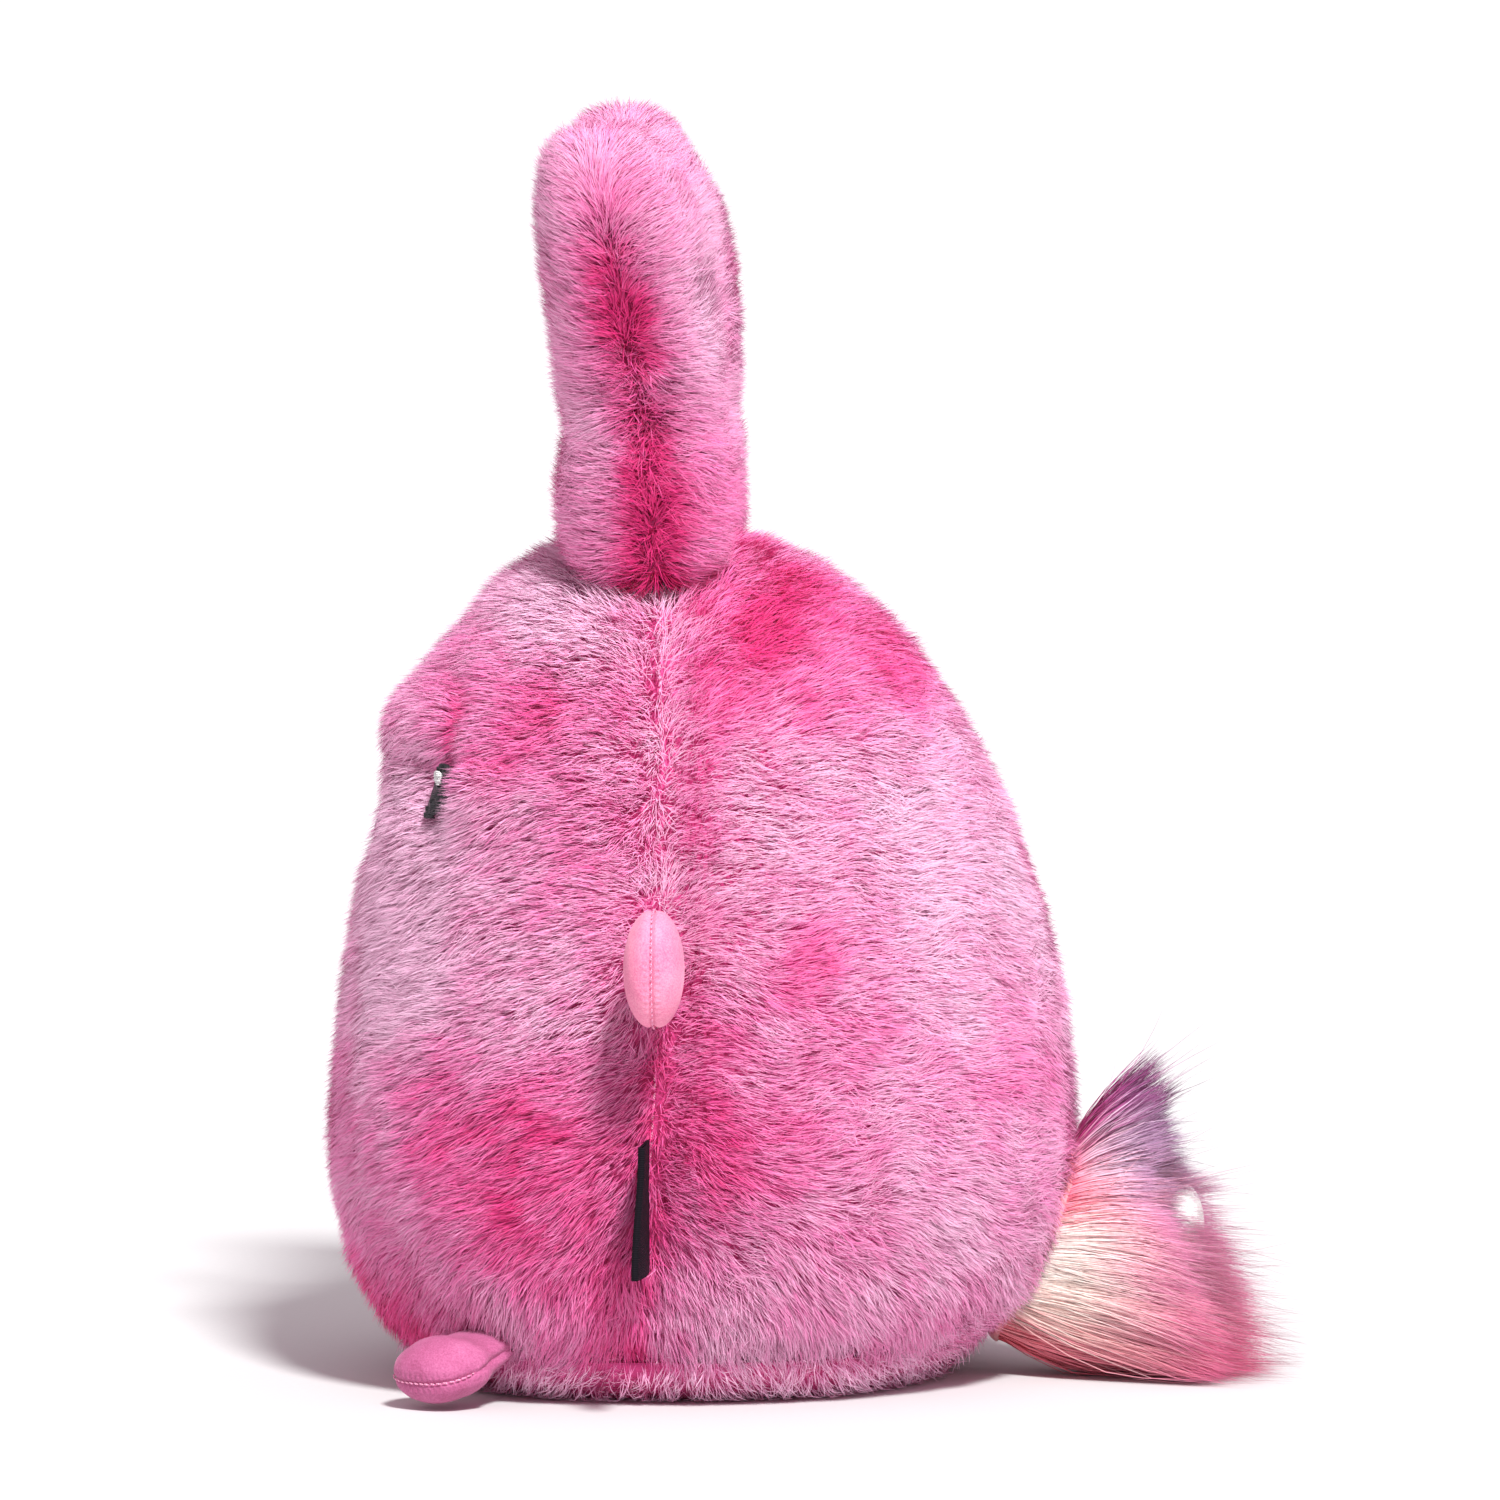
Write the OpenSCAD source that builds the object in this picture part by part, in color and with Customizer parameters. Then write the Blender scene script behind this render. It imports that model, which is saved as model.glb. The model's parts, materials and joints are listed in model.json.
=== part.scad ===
// Stuffed bunny: an egg-shaped plush body that sits on an oval base, with two upright
// padded ears, small velour arm and foot pads, a blank side label and a long-pile tail.
// Millimetres. +Z is up, the face looks along -Y and the bunny's left side is +X.
// The origin is the middle of the flat face that the bunny sits on.
// Every furry solid is the fabric with its pile on, so its outside is the fur's outside.

/* [Body] */
// Width of the body from side to side
body_w = 284; // [240:1:320]
// Depth of the body from belly to back
body_d = 266; // [230:1:300]
// Height of the body to the top of the head
body_h = 300; // [270:1:330]
// Height of the widest ring of the body
belly_z = 80; // [60:1:110]
// Share of the full girth that rests on the floor
rest_share = 0.62; // [0.5:0.01:0.75]
// Height of the seam that joins the base panel
base_seam_z = 18; // [12:1:26]
// Thickness of the furry fabric, backing and pile together
plush_t = 10; // [6:0.5:12]

/* [Ears] */
// Distance from the middle of the head to an ear's root
ear_x = 45; // [38:1:60]
// Length of an ear above its bending line
ear_len = 125; // [90:1:160]
// Width of an ear at its widest
ear_w = 76; // [60:1:84]
// Thickness of an ear at its widest
ear_t = 62; // [48:1:66]
// How far the tip of an ear leans forward
ear_lean = 16; // [0:1:25]
// Outward tilt of an ear in degrees
ear_splay = 8; // [4:1:14]

/* [Arms and feet] */
// Length of an arm pad
arm_len = 46; // [36:1:56]
// Width of an arm pad
arm_w = 44; // [32:1:52]
// Thickness of an arm pad
arm_t = 23; // [16:1:26]
// Height of an arm's root
arm_z = 160; // [140:1:180]
// Length of a foot pad
foot_len = 36; // [34:1:48]
// Width of a foot pad
foot_w = 36; // [32:1:48]
// Thickness of a foot pad
foot_t = 21; // [14:1:23]
// Direction of a foot, in degrees outward from straight ahead
foot_turn = 50; // [35:1:55]

/* [Face] */
// Distance from the middle of the face to an eye
eye_x = 76; // [56:1:80]
// Height of the eyes
eye_z = 211; // [195:1:225]
// Width of an eye
eye_w = 14; // [10:1:18]
// Height of an eye
eye_h = 19; // [12:1:22]

/* [Tail and label] */
// Height of the tail's root
tail_z = 44; // [40:1:60]
// Length of the tail
tail_len = 62; // [45:1:70]
// Width of the tail
tail_w = 86; // [60:1:96]
// Height of the label along the side seam
label_h = 46; // [30:1:60]
// How far the label stands out of the seam
label_out = 22; // [14:1:30]

/* [Hidden] */

fur_pink = [0.91, 0.44, 0.68];
pad_pink = [0.95, 0.62, 0.76];
fill_white = [0.95, 0.94, 0.92];
thread_pink = [0.78, 0.30, 0.52];
eye_black = [0.05, 0.04, 0.05];
nose_pink = [0.75, 0.22, 0.45];
tail_peach = [0.98, 0.72, 0.68];

front = -1;
back = 1;
left = 1;
right = -1;

seam_gap = 2.4;          // width of the groove between two panels
fill_gap = 0.5;          // room between a panel and the filling behind it
thread_r = 0.9;
thread_sides = 5;
thread_depth = 7;        // a furry seam's thread lies this far under the fur's outside
seam_start_up = 3;       // a side seam's thread starts this far over the base seam
seam_end_down = 9;       // and ends this far under the top of the head
closing_from = 62;       // the hand-sewn gap in the base seam, in degrees round the section
closing_to = 118;
section_power = 0.94;    // 2 / 2.13, the superellipse of a level section
crown_p = 1.7;           // the crown's superellipse, along Z and across
crown_q = 2.6;
base_p = 1.8;            // the same for the tuck under the belly
base_q = 1.6;
lean_from_z = 120;       // above this height the head drifts towards the side seam
low_seam_y = -18;        // the side seam at the floor
high_seam_y = -13;       // the side seam at the top of the head
seam_bow = 8;            // how far the side seam bows back between them

side_steps = 30;         // columns across half a body section
crown_rows = 17;
face_rows = [-21, -15, -9, -3, 3, 9, 15];  // rows of the front panel about the eyes' height
tuck_rows = 6;
dimple_r = 15;           // reach of the pull-in beside an eye and round the nose
dimple_depth = 9;
dimple_shift = 5;        // an eye's pull-in is deepest this far nearer the nose
brow_out = 9;            // how far the brow swells over the eyes
brow_z = 235;
brow_r = 17;
brow_half_w = 85;
nose_z = 206;
nose_w = 15;
nose_h = 10;
mouth_half_w = 13;
mouth_drop = 9;          // from the nose's middle down to the ends of the mouth
mouth_dip = 5;           // how far each half of the mouth hangs below its ends
mouth_lift = -1.5;       // the mouth's thread lies inside the pile
patch_lift = 0.6;        // an embroidered patch lies this far over the fur
patch_dome = 1.4;
patch_rim_t = 0.4;       // thickness of an embroidered patch at its rim
patch_flat = 0.98;       // keeps the rim of its dome from ending in a vertical wall
highlight_dx = 2.4;      // place of an eye's highlight from the eye's middle, towards the nose
highlight_dz = 4.4;
highlight_w = 4;
highlight_h = 5;
highlight_lift = 2.6;    // just over the eye's dome
highlight_dome = 0.3;

ear_root_r = 28;         // the round bottom of an ear, about its bending line
ear_root_w = 60;
ear_root_y = -18;
ear_gap = 2.4;           // room between an ear's bottom and the head

pad_t = 1.8;             // thickness of the velour of the arms and feet
pad_steps = 10;
lean_power = 1.8;
tip_share = 0.55;        // the tip's rounding starts at this share of a pad's length
root_power = 0.7;
tip_powers = [0.9, 0.8, 0.75];  // of the tip's rounding along, across and through the pad
arm_root_r = 5;
arm_root_w = 20;
arm_droop = 6;
arm_gap = 3;
foot_root_r = 5;
foot_root_w = 22;
foot_tilt = 16;
foot_gap = 4;
foot_root_phi = 33;      // place of a foot's root round the base seam, from the side seam
foot_root_z = 18;

label_z = 73;            // height of the label's middle
label_t = 3;
label_gap = 0.6;

gather_r = 6;
tail_gap = 0.5;
tail_plush_t = 14;       // the tail's backing and long pile
tail_clear_z = 3;        // the tail hangs this far off the floor
tail_profile = [174, 1.25, 6, 0.7];  // sweep, its power, first angle, power of the swell

// --- outlines of the body ----------------------------------------------------------

function side_seam_y(z) =
    low_seam_y + (high_seam_y - low_seam_y) * z / body_h + seam_bow * sin(180 * z / body_h);

// Middle of a level section, which drifts forward up the head
function middle_y(z) = high_seam_y * pow(max(0, z - lean_from_z) / (body_h - lean_from_z), 1.5);

// Girth at a height as a share of the widest, for a body whose crown ends at top
function girth(z, top) =
    z >= belly_z
    ? pow(max(0, 1 - pow((z - belly_z) / (top - belly_z), crown_p)), 1 / crown_q)
    : rest_share + (1 - rest_share)
      * pow(max(0, 1 - pow((belly_z - z) / belly_z, base_p)), 1 / base_q);

function signed_pow(v, p) = sign(v) * pow(abs(v), p);

// A point of the body: phi runs from the left seam (0) over the front or back to the right (180)
function body_point(z, phi, inset, face) =
    let (
        k = girth(z, body_h - inset),
        seam = side_seam_y(z),
        reach = middle_y(z) - seam + face * (body_d / 2 - inset) * k
    )
    [
        (body_w / 2 - inset) * k * signed_pow(cos(phi), section_power),
        seam + reach * pow(max(0, sin(phi)), section_power),
        z
    ];

// Heights of the rows from low to the crown, closest together at the crown
function body_heights(low, top) = concat(
    [for (i = [0 : tuck_rows - 1]) low + (belly_z - low) * sin(90 * i / tuck_rows)],
    [for (i = [0 : crown_rows])
        belly_z + (top - belly_z) * pow(sin(90 * i / crown_rows), 2 / crown_p)]
);

// The same with closer rows about the eyes
function face_heights(heights) =
    let (
        last = len(face_rows) - 1,
        clear = (face_rows[1] - face_rows[0]) / 2
    )
    concat(
        [for (z = heights) if (z < eye_z + face_rows[0] - clear) z],
        [for (dz = face_rows) eye_z + dz],
        [for (z = heights) if (z > eye_z + face_rows[last] + clear) z]
    );

// Heights of the matching rows inside the fabric, whose crown is lower
function lining_heights(heights) = [
    for (z = heights)
        z < belly_z ? z : belly_z + (z - belly_z) * (1 - plush_t / (body_h - belly_z))
];

function bump(dx, dz, r) = exp(-(dx * dx + dz * dz) / (r * r));

// How far the stitched face pulls the fur in at a place on the front, less the brow's swell
function pull_in(x, z) =
    let (dimple_x = eye_x - dimple_shift)
    dimple_depth * (bump(x - dimple_x, z - eye_z, dimple_r)
                    + bump(x + dimple_x, z - eye_z, dimple_r))
    + dimple_depth * bump(x, z - nose_z, dimple_r)
    - brow_out * exp(-pow((z - brow_z) / brow_r, 2)) * exp(-pow(x / brow_half_w, 4));

// A point moved towards the body's upright middle line
function moved_in(p, depth) =
    let (
        seam = side_seam_y(p[2]),
        share = 1 - depth / norm([p[0], p[1] - seam])
    )
    [p[0] * share, seam + (p[1] - seam) * share, p[2]];

// Columns run the way that keeps a sheet's outside facing out: over the back from the left,
// over the front from the right
function column_angle(j, steps, face) = face == back ? 180 * j / steps : 180 - 180 * j / steps;

function plain_row(z, inset, face) =
    [for (j = [0 : side_steps]) body_point(z, column_angle(j, side_steps, face), inset, face)];

function front_row(z) = [for (p = plain_row(z, 0, front)) moved_in(p, pull_in(p[0], z))];

// The whole section at a height, front and back, as one ring
function body_ring(z, inset, steps) = [
    for (j = [0 : steps - 1])
        let (phi = 360 * j / steps)
        body_point(z, phi > 180 ? 360 - phi : phi, inset, phi > 180 ? front : back)
];

function crown(inset) = [0, side_seam_y(body_h - inset), body_h - inset];

// A point on the fur of the face, lifted off it
function face_point(x, z, lift) =
    let (
        half_w = body_w / 2 * girth(z, body_h),
        phi = acos(signed_pow(x / half_w, 1 / section_power))
    )
    moved_in(body_point(z, phi, 0, front), pull_in(x, z) - lift);

// --- solids from rows of points ----------------------------------------------------

function flat(rows) = [for (row = rows) for (p = row) p];

function row_start(rows, i) = i == 0 ? 0 : row_start(rows, i - 1) + len(rows[i - 1]);

function column(row, j) = len(row) == 1 ? 0 : j % len(row);

// Triangles and quads between two rows; a row of one point is a pole
function strip(a, b, row_a, row_b, steps) = [
    for (j = [0 : steps - 1])
        len(row_a) == 1 ? [a, b + column(row_b, j), b + column(row_b, j + 1)]
        : len(row_b) == 1 ? [a + column(row_a, j), b, a + column(row_a, j + 1)]
        : [a + column(row_a, j), b + column(row_b, j), b + column(row_b, j + 1),
           a + column(row_a, j + 1)]
];

function turned(faces) = [for (f = faces) [for (i = [len(f) - 1 : -1 : 0]) f[i]]];

// A closed solid from rings, bottom to top, each counterclockwise from above
module ring_solid(rows) {
    last = len(rows) - 1;
    starts = [for (i = [0 : last]) row_start(rows, i)];
    steps = max([for (row = rows) len(row)]);
    sides = [for (i = [0 : last - 1])
        each strip(starts[i], starts[i + 1], rows[i], rows[i + 1], steps)];
    floor_face = len(rows[0]) == 1 ? [] : [[for (j = [0 : steps - 1]) j]];
    top_face = len(rows[last]) == 1 ? [] : [[for (j = [steps - 1 : -1 : 0]) starts[last] + j]];
    polyhedron(flat(rows), concat(sides, floor_face, top_face), convexity = 4);
}

// A sheet with thickness, from its outer and inner rows, which may end in poles
module sheet_solid(outer, inner) {
    last = len(outer) - 1;
    starts = [for (i = [0 : last]) row_start(outer, i)];
    inside = len(flat(outer));
    steps = max([for (row = outer) len(row)]) - 1;
    skin = [for (i = [0 : last - 1])
        each strip(starts[i], starts[i + 1], outer[i], outer[i + 1], steps)];
    lining = turned([for (f = skin) [for (v = f) v + inside]]);
    first_edge = [for (i = [0 : last - 1])
        [starts[i + 1], starts[i], starts[i] + inside, starts[i + 1] + inside]];
    ends = [for (i = [0 : last]) starts[i] + len(outer[i]) - 1];
    far_edge = [for (i = [0 : last - 1])
        [ends[i], ends[i + 1], ends[i + 1] + inside, ends[i] + inside]];
    hem = len(outer[0]) == 1 ? [] : [for (j = [0 : steps - 1]) [j, j + 1, j + 1 + inside, j + inside]];
    polyhedron(concat(flat(outer), flat(inner)), concat(skin, lining, first_edge, far_edge, hem),
               convexity = 6);
}

// A thread along a path; up is a direction that the path never takes
function unit(v) = v / norm(v);

function thread_ring(path, i, closed, up) =
    let (
        n = len(path),
        before = path[closed ? (i + n - 1) % n : max(0, i - 1)],
        after = path[closed ? (i + 1) % n : min(n - 1, i + 1)],
        along = unit(after - before),
        across = unit(cross(along, up)),
        over = cross(across, along)
    )
    [for (j = [0 : thread_sides - 1])
        path[i] + thread_r * (cos(360 * j / thread_sides) * across
                              + sin(360 * j / thread_sides) * over)];

module thread(path, up, closed = false) {
    n = len(path);
    rings = [for (i = [0 : n - 1]) thread_ring(path, i, closed, up)];
    last = closed ? n : n - 1;
    sides = [
        for (i = [0 : last - 1]) for (j = [0 : thread_sides - 1])
            let (a = i * thread_sides, b = ((i + 1) % n) * thread_sides, k = (j + 1) % thread_sides)
            [a + j, a + k, b + k, b + j]
    ];
    ends = closed ? [] : [
        [for (j = [thread_sides - 1 : -1 : 0]) j],
        [for (j = [0 : thread_sides - 1]) (n - 1) * thread_sides + j]
    ];
    polyhedron(flat(rings), concat(sides, ends), convexity = 6);
}

// --- body --------------------------------------------------------------------------

module body_front_panel() {
    heights = face_heights(body_heights(base_seam_z + seam_gap / 2, body_h));
    inner_heights = lining_heights(heights);
    rows = len(heights) - 1;
    color(fur_pink)
        translate([0, -seam_gap / 2, 0])
            sheet_solid(
                concat([for (i = [0 : rows - 1]) front_row(heights[i])], [[crown(0)]]),
                concat([for (i = [0 : rows - 1]) plain_row(inner_heights[i], plush_t, front)],
                       [[crown(plush_t)]])
            );
}

module body_back_panel() {
    heights = body_heights(base_seam_z + seam_gap / 2, body_h);
    inner_heights = lining_heights(heights);
    rows = len(heights) - 1;
    color(fur_pink)
        translate([0, seam_gap / 2, 0])
            sheet_solid(
                concat([for (i = [0 : rows - 1]) plain_row(heights[i], 0, back)], [[crown(0)]]),
                concat([for (i = [0 : rows - 1]) plain_row(inner_heights[i], plush_t, back)],
                       [[crown(plush_t)]])
            );
}

module base_panel() {
    top = base_seam_z - seam_gap / 2;
    rows = 5;
    color(fur_pink)
        ring_solid([for (i = [0 : rows]) body_ring(top * pow(i / rows, 1.5), 0, 2 * side_steps)]);
}

module body_fill() {
    inset = plush_t + fill_gap + seam_gap / 2;
    heights = body_heights(base_seam_z, body_h - inset);
    rows = len(heights) - 1;
    color(fill_white)
        ring_solid(concat(
            [for (i = [0 : rows - 1]) body_ring(heights[i], inset, side_steps)],
            [[crown(inset)]]
        ));
}

// The thread that closes a side seam, from the base seam to the top of the head
module side_seam(side) {
    steps = 24;
    from_z = base_seam_z + seam_start_up;
    to_z = body_h - seam_end_down;
    color(thread_pink)
        thread([
            for (i = [0 : steps])
                let (z = from_z + (to_z - from_z) * sin(90 * i / steps))
                [side * (body_w / 2 - thread_depth) * girth(z, body_h - thread_depth),
                 side_seam_y(z), z]
        ], [0, 1, 0]);
}

module base_seam() {
    steps = 44;
    color(thread_pink)
        thread([
            for (i = [0 : steps])
                let (turn = closing_to + (360 - closing_to + closing_from) * i / steps,
                     phi = turn % 360)
                body_point(base_seam_z, phi > 180 ? 360 - phi : phi, thread_depth,
                           phi > 180 ? front : back)
        ], [0, 0, 1]);
}

// The short ladder stitches that close the body after it is filled
module closing_stitches() {
    count = 7;
    half_gap = seam_gap / 2;
    color(thread_pink)
        for (i = [0 : count - 1]) {
            phi = closing_from + (closing_to - closing_from) * (i + 0.5) / count;
            p = body_point(base_seam_z, phi, thread_depth, back);
            translate([p[0], p[1], base_seam_z - half_gap])
                cylinder(h = 2 * half_gap, r = thread_r, $fn = 16);
        }
}

// --- face --------------------------------------------------------------------------

// A stitched patch that follows the face, with a domed outside
module stitched_patch(x, z, w, h, lift, dome, rings = 3, steps = 16) {
    function patch_row(share, height) = [
        for (j = [0 : steps - 1])
            face_point(x + share * w / 2 * cos(360 * j / steps),
                       z + share * h / 2 * sin(360 * j / steps), height)
    ];
    base = lift + patch_rim_t;
    translate([0, -seam_gap / 2, 0])
        ring_solid(concat(
            [[face_point(x, z, lift)]],
            [for (i = [1 : rings]) patch_row(i / rings, lift)],
            [for (i = [rings : -1 : 1])
                patch_row(i / rings, base + dome * sqrt(1 - pow(patch_flat * i / rings, 2)))],
            [[face_point(x, z, base + dome)]]
        ));
}

module eye(side) {
    color(eye_black)
        stitched_patch(side * eye_x, eye_z, eye_w, eye_h, patch_lift, patch_dome);
}

// The light stitches in the upper inner part of an eye
module eye_highlight(side) {
    color("white")
        stitched_patch(side * (eye_x - highlight_dx), eye_z + highlight_dz, highlight_w,
                       highlight_h, highlight_lift, highlight_dome, 2, 12);
}

module nose() {
    color(nose_pink)
        stitched_patch(0, nose_z, nose_w, nose_h, patch_lift, patch_dome);
}

// Two curves of back stitch that hang from a short line under the nose
module mouth_stitches() {
    steps = 10;
    path = [
        for (i = [-steps : steps])
            let (t = i / steps, dip = 1 - pow(2 * abs(t) - 1, 2))
            face_point(mouth_half_w * t, nose_z - mouth_drop - mouth_dip * dip, mouth_lift)
    ];
    color(eye_black)
        translate([0, -seam_gap / 2, 0])
            thread(path, [0, 1, 0]);
}

// --- padded ears, arms and feet ----------------------------------------------------

// Rows of a pad as [z, half width, half thickness]: a round root about z = 0, a middle
// that swells, and a round tip. shape is [root_r, root_w, half_w, half_t, length].
function pad_rows(shape, inset) =
    let (
        root_r = shape[0] - inset,
        root_w = shape[1] / 2 - inset,
        half_w = shape[2] - inset,
        half_t = shape[3] - inset,
        full = shape[4] - inset,
        tip_from = shape[4] * tip_share,
        n = 5
    )
    concat(
        [for (i = [0 : n - 1])
            let (a = 90 * (1 - i / n))
            [-root_r * sin(a), root_w * pow(cos(a), root_power), root_r * cos(a)]],
        [for (i = [0 : n - 1])
            let (t = (1 - cos(180 * i / n)) / 2)
            [tip_from * i / n, root_w + (half_w - root_w) * t, root_r + (half_t - root_r) * t]],
        [for (i = [0 : n + 1])
            let (a = 90 * i / (n + 1))
            [tip_from + (full - tip_from) * pow(sin(a), tip_powers[0]),
             half_w * pow(cos(a), tip_powers[1]), half_t * pow(cos(a), tip_powers[2])]]
    );

// How far a pad's middle has leaned at a height z
function lean_shift(shape, lean, z) = -lean * pow(max(0, z) / shape[4], lean_power);

// Half a pad's sheet on the side that face names, leaning by lean at its tip
function pad_sheet(shape, lean, inset, face) =
    let (rows = pad_rows(shape, inset), last = len(rows) - 1)
    [for (i = [0 : last])
        let (r = rows[i], shift = lean_shift(shape, lean, r[0]))
        i == 0 || i == last
        ? [[0, shift, r[0]]]
        : [for (j = [0 : pad_steps])
            let (phi = column_angle(j, pad_steps, face))
            [r[1] * cos(phi), shift + face * r[2] * sin(phi), r[0]]]
    ];

module pad_panel(shape, lean, thick, gap, face) {
    translate([0, face * gap / 2, 0])
        sheet_solid(pad_sheet(shape, lean, 0, face), pad_sheet(shape, lean, thick, face));
}

module pad_fill(shape, lean, inset) {
    rows = pad_rows(shape, inset);
    last = len(rows) - 1;
    steps = 2 * pad_steps;
    ring_solid([
        for (i = [0 : last])
            let (r = rows[i], shift = lean_shift(shape, lean, r[0]))
            i == 0 || i == last
            ? [[0, shift, r[0]]]
            : [for (j = [0 : steps - 1])
                [r[1] * cos(360 * j / steps), shift + r[2] * sin(360 * j / steps), r[0]]]
    ]);
}

// The thread round a pad's edge, in the groove between its two panels
module pad_seam(shape, lean, inset) {
    rows = pad_rows(shape, inset);
    last = len(rows) - 1;
    function edge(i, side) =
        [side * rows[i][1], lean_shift(shape, lean, rows[i][0]), rows[i][0]];
    thread(concat(
        [for (i = [0 : last]) i == 0 || i == last ? [0, edge(i, 1)[1], rows[i][0]] : edge(i, 1)],
        [for (i = [last - 1 : -1 : 1]) edge(i, -1)]
    ), [0, 1, 0], closed = true);
}

ear_shape = [ear_root_r, ear_root_w, ear_w / 2, ear_t / 2, ear_len];
arm_shape = [arm_root_r, arm_root_w, arm_w / 2, arm_t / 2, arm_len - arm_root_r];
foot_shape = [foot_root_r, foot_root_w, foot_w / 2, foot_t / 2, foot_len - foot_root_r];

// Height of the crown over an ear's root
function crown_z(x) =
    belly_z + (body_h - belly_z)
    * pow(1 - pow(2 * x / body_w, crown_q), 1 / crown_p);

ear_pivot_z = crown_z(ear_x) + ear_root_r / cos(ear_splay) + ear_gap;

// Places an ear: its own Z runs up the ear from the bending line
module at_ear(side) {
    translate([side * ear_x, ear_root_y, ear_pivot_z])
        rotate([0, side * ear_splay, 0])
            children();
}

module ear_panel(side, face) {
    color(fur_pink) at_ear(side) pad_panel(ear_shape, ear_lean, plush_t, seam_gap, face);
}

module ear_fill(side) {
    color(fill_white) at_ear(side) pad_fill(ear_shape, ear_lean, plush_t + fill_gap);
}

module ear_edge_seam(side) {
    color(thread_pink) at_ear(side) pad_seam(ear_shape, ear_lean, thread_depth);
}

arm_root_x = body_w / 2 * girth(arm_z, body_h) + arm_root_r + arm_gap;

// Places an arm: its own Z runs out of the side and its X up the seam
module at_arm(side) {
    mirror([side == left ? 0 : 1, 0, 0])
        translate([arm_root_x, side_seam_y(arm_z), arm_z])
            rotate([0, 90 + arm_droop, 0])
                children();
}

module arm_panel(side, face) {
    color(pad_pink) at_arm(side) pad_panel(arm_shape, 0, pad_t, 2 * pad_t, face);
}

module arm_fill(side) {
    color(fill_white) at_arm(side) pad_fill(arm_shape, 0, pad_t + fill_gap);
}

module arm_edge_seam(side) {
    color(thread_pink) at_arm(side) pad_seam(arm_shape, 0, pad_t / 2);
}

foot_root = body_point(base_seam_z, foot_root_phi, 0, front);
foot_reach = foot_root_r + foot_gap;
foot_pivot = [
    foot_root[0] + foot_reach * sin(foot_turn),
    foot_root[1] - foot_reach * cos(foot_turn),
    foot_root_z
];

// Places a foot: its own Z runs outward and down, and its Y is up through the pad
module at_foot(side) {
    mirror([side == left ? 0 : 1, 0, 0])
        translate(foot_pivot)
            rotate([0, 0, foot_turn])
                rotate([90 + foot_tilt, 0, 0])
                    children();
}

module foot_panel(side, face) {
    color(pad_pink) at_foot(side) pad_panel(foot_shape, 0, pad_t, 2 * pad_t, face);
}

module foot_fill(side) {
    color(fill_white) at_foot(side) pad_fill(foot_shape, 0, pad_t + fill_gap);
}

module foot_edge_seam(side) {
    color(thread_pink) at_foot(side) pad_seam(foot_shape, 0, pad_t / 2);
}

// --- tail and label ----------------------------------------------------------------

tail_root_y = middle_y(tail_z) + body_d / 2 * girth(tail_z, body_h)
    + seam_gap / 2 + gather_r + tail_gap;

// The gathered neck of the tail, bound with thread
module tail_gather() {
    color(thread_pink)
        translate([0, tail_root_y, tail_z])
            sphere(r = gather_r, $fn = 48);
}

// Rows of the tail as [distance from the neck's middle, half width, half height]
function tail_rows(inset) =
    let (rows = 9, from = gather_r + tail_gap + inset, to = tail_len - inset)
    [for (i = [0 : rows])
        let (
            t = i / rows,
            turn = tail_profile[0] * pow(t, tail_profile[1]) + tail_profile[2],
            swell = pow(sin(turn), tail_profile[3])
        )
        [from + (to - from) * (1 - cos(180 * t)) / 2,
         (tail_w / 2 - inset) * swell, (tail_z - tail_clear_z - inset) * swell]];

module tail_body(inset) {
    rows = tail_rows(inset);
    last = len(rows) - 1;
    steps = 24;
    translate([0, tail_root_y, tail_z])
        ring_solid([
            for (i = [0 : last])
                i == 0 || i == last
                ? [[0, rows[i][0], 0]]
                : [for (j = [0 : steps - 1])
                    [-rows[i][1] * cos(360 * j / steps), rows[i][0],
                     rows[i][2] * sin(360 * j / steps)]]
        ]);
}

// The pouch of long fur, hollow round its filling
module tail_fur_pouch() {
    color(tail_peach)
        difference() {
            tail_body(0);
            tail_body(tail_plush_t);
        }
}

module tail_fill() {
    color(fill_white) tail_body(tail_plush_t + fill_gap);
}

// A folded strip of blank ribbon whose ends are caught in the left side seam
module side_label() {
    root_r = label_t / 2;
    root_x = body_w / 2 * girth(label_z, body_h) + root_r + label_gap;
    color(eye_black)
        translate([root_x, side_seam_y(label_z), label_z - label_h / 2])
            difference() {
                union() {
                    cylinder(h = label_h, r = root_r, $fn = 32);
                    translate([0, -root_r, 0]) cube([label_out - 2 * root_r, label_t, label_h]);
                    translate([label_out - 2 * root_r, 0, 0])
                        cylinder(h = label_h, r = root_r, $fn = 32);
                }
                translate([root_r, -root_r / 3, -1])
                    cube([label_out - 4 * root_r, label_t / 3, label_h + 2]);
            }
}

body_front_panel();
body_back_panel();
base_panel();
body_fill();
side_seam(left);  // left_side_seam
side_seam(right);  // right_side_seam
base_seam();
closing_stitches();
eye(left);  // left_eye
eye(right);  // right_eye
eye_highlight(left);  // left_eye_highlight
eye_highlight(right);  // right_eye_highlight
nose();
mouth_stitches();
ear_panel(left, front);  // left_ear_front_panel
ear_panel(left, back);  // left_ear_back_panel
ear_fill(left);  // left_ear_fill
ear_edge_seam(left);  // left_ear_edge_seam
ear_panel(right, front);  // right_ear_front_panel
ear_panel(right, back);  // right_ear_back_panel
ear_fill(right);  // right_ear_fill
ear_edge_seam(right);  // right_ear_edge_seam
arm_panel(left, front);  // left_arm_front_panel
arm_panel(left, back);  // left_arm_back_panel
arm_fill(left);  // left_arm_fill
arm_edge_seam(left);  // left_arm_edge_seam
arm_panel(right, front);  // right_arm_front_panel
arm_panel(right, back);  // right_arm_back_panel
arm_fill(right);  // right_arm_fill
arm_edge_seam(right);  // right_arm_edge_seam
foot_panel(left, back);  // left_foot_top_panel
foot_panel(left, front);  // left_foot_sole_panel
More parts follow.
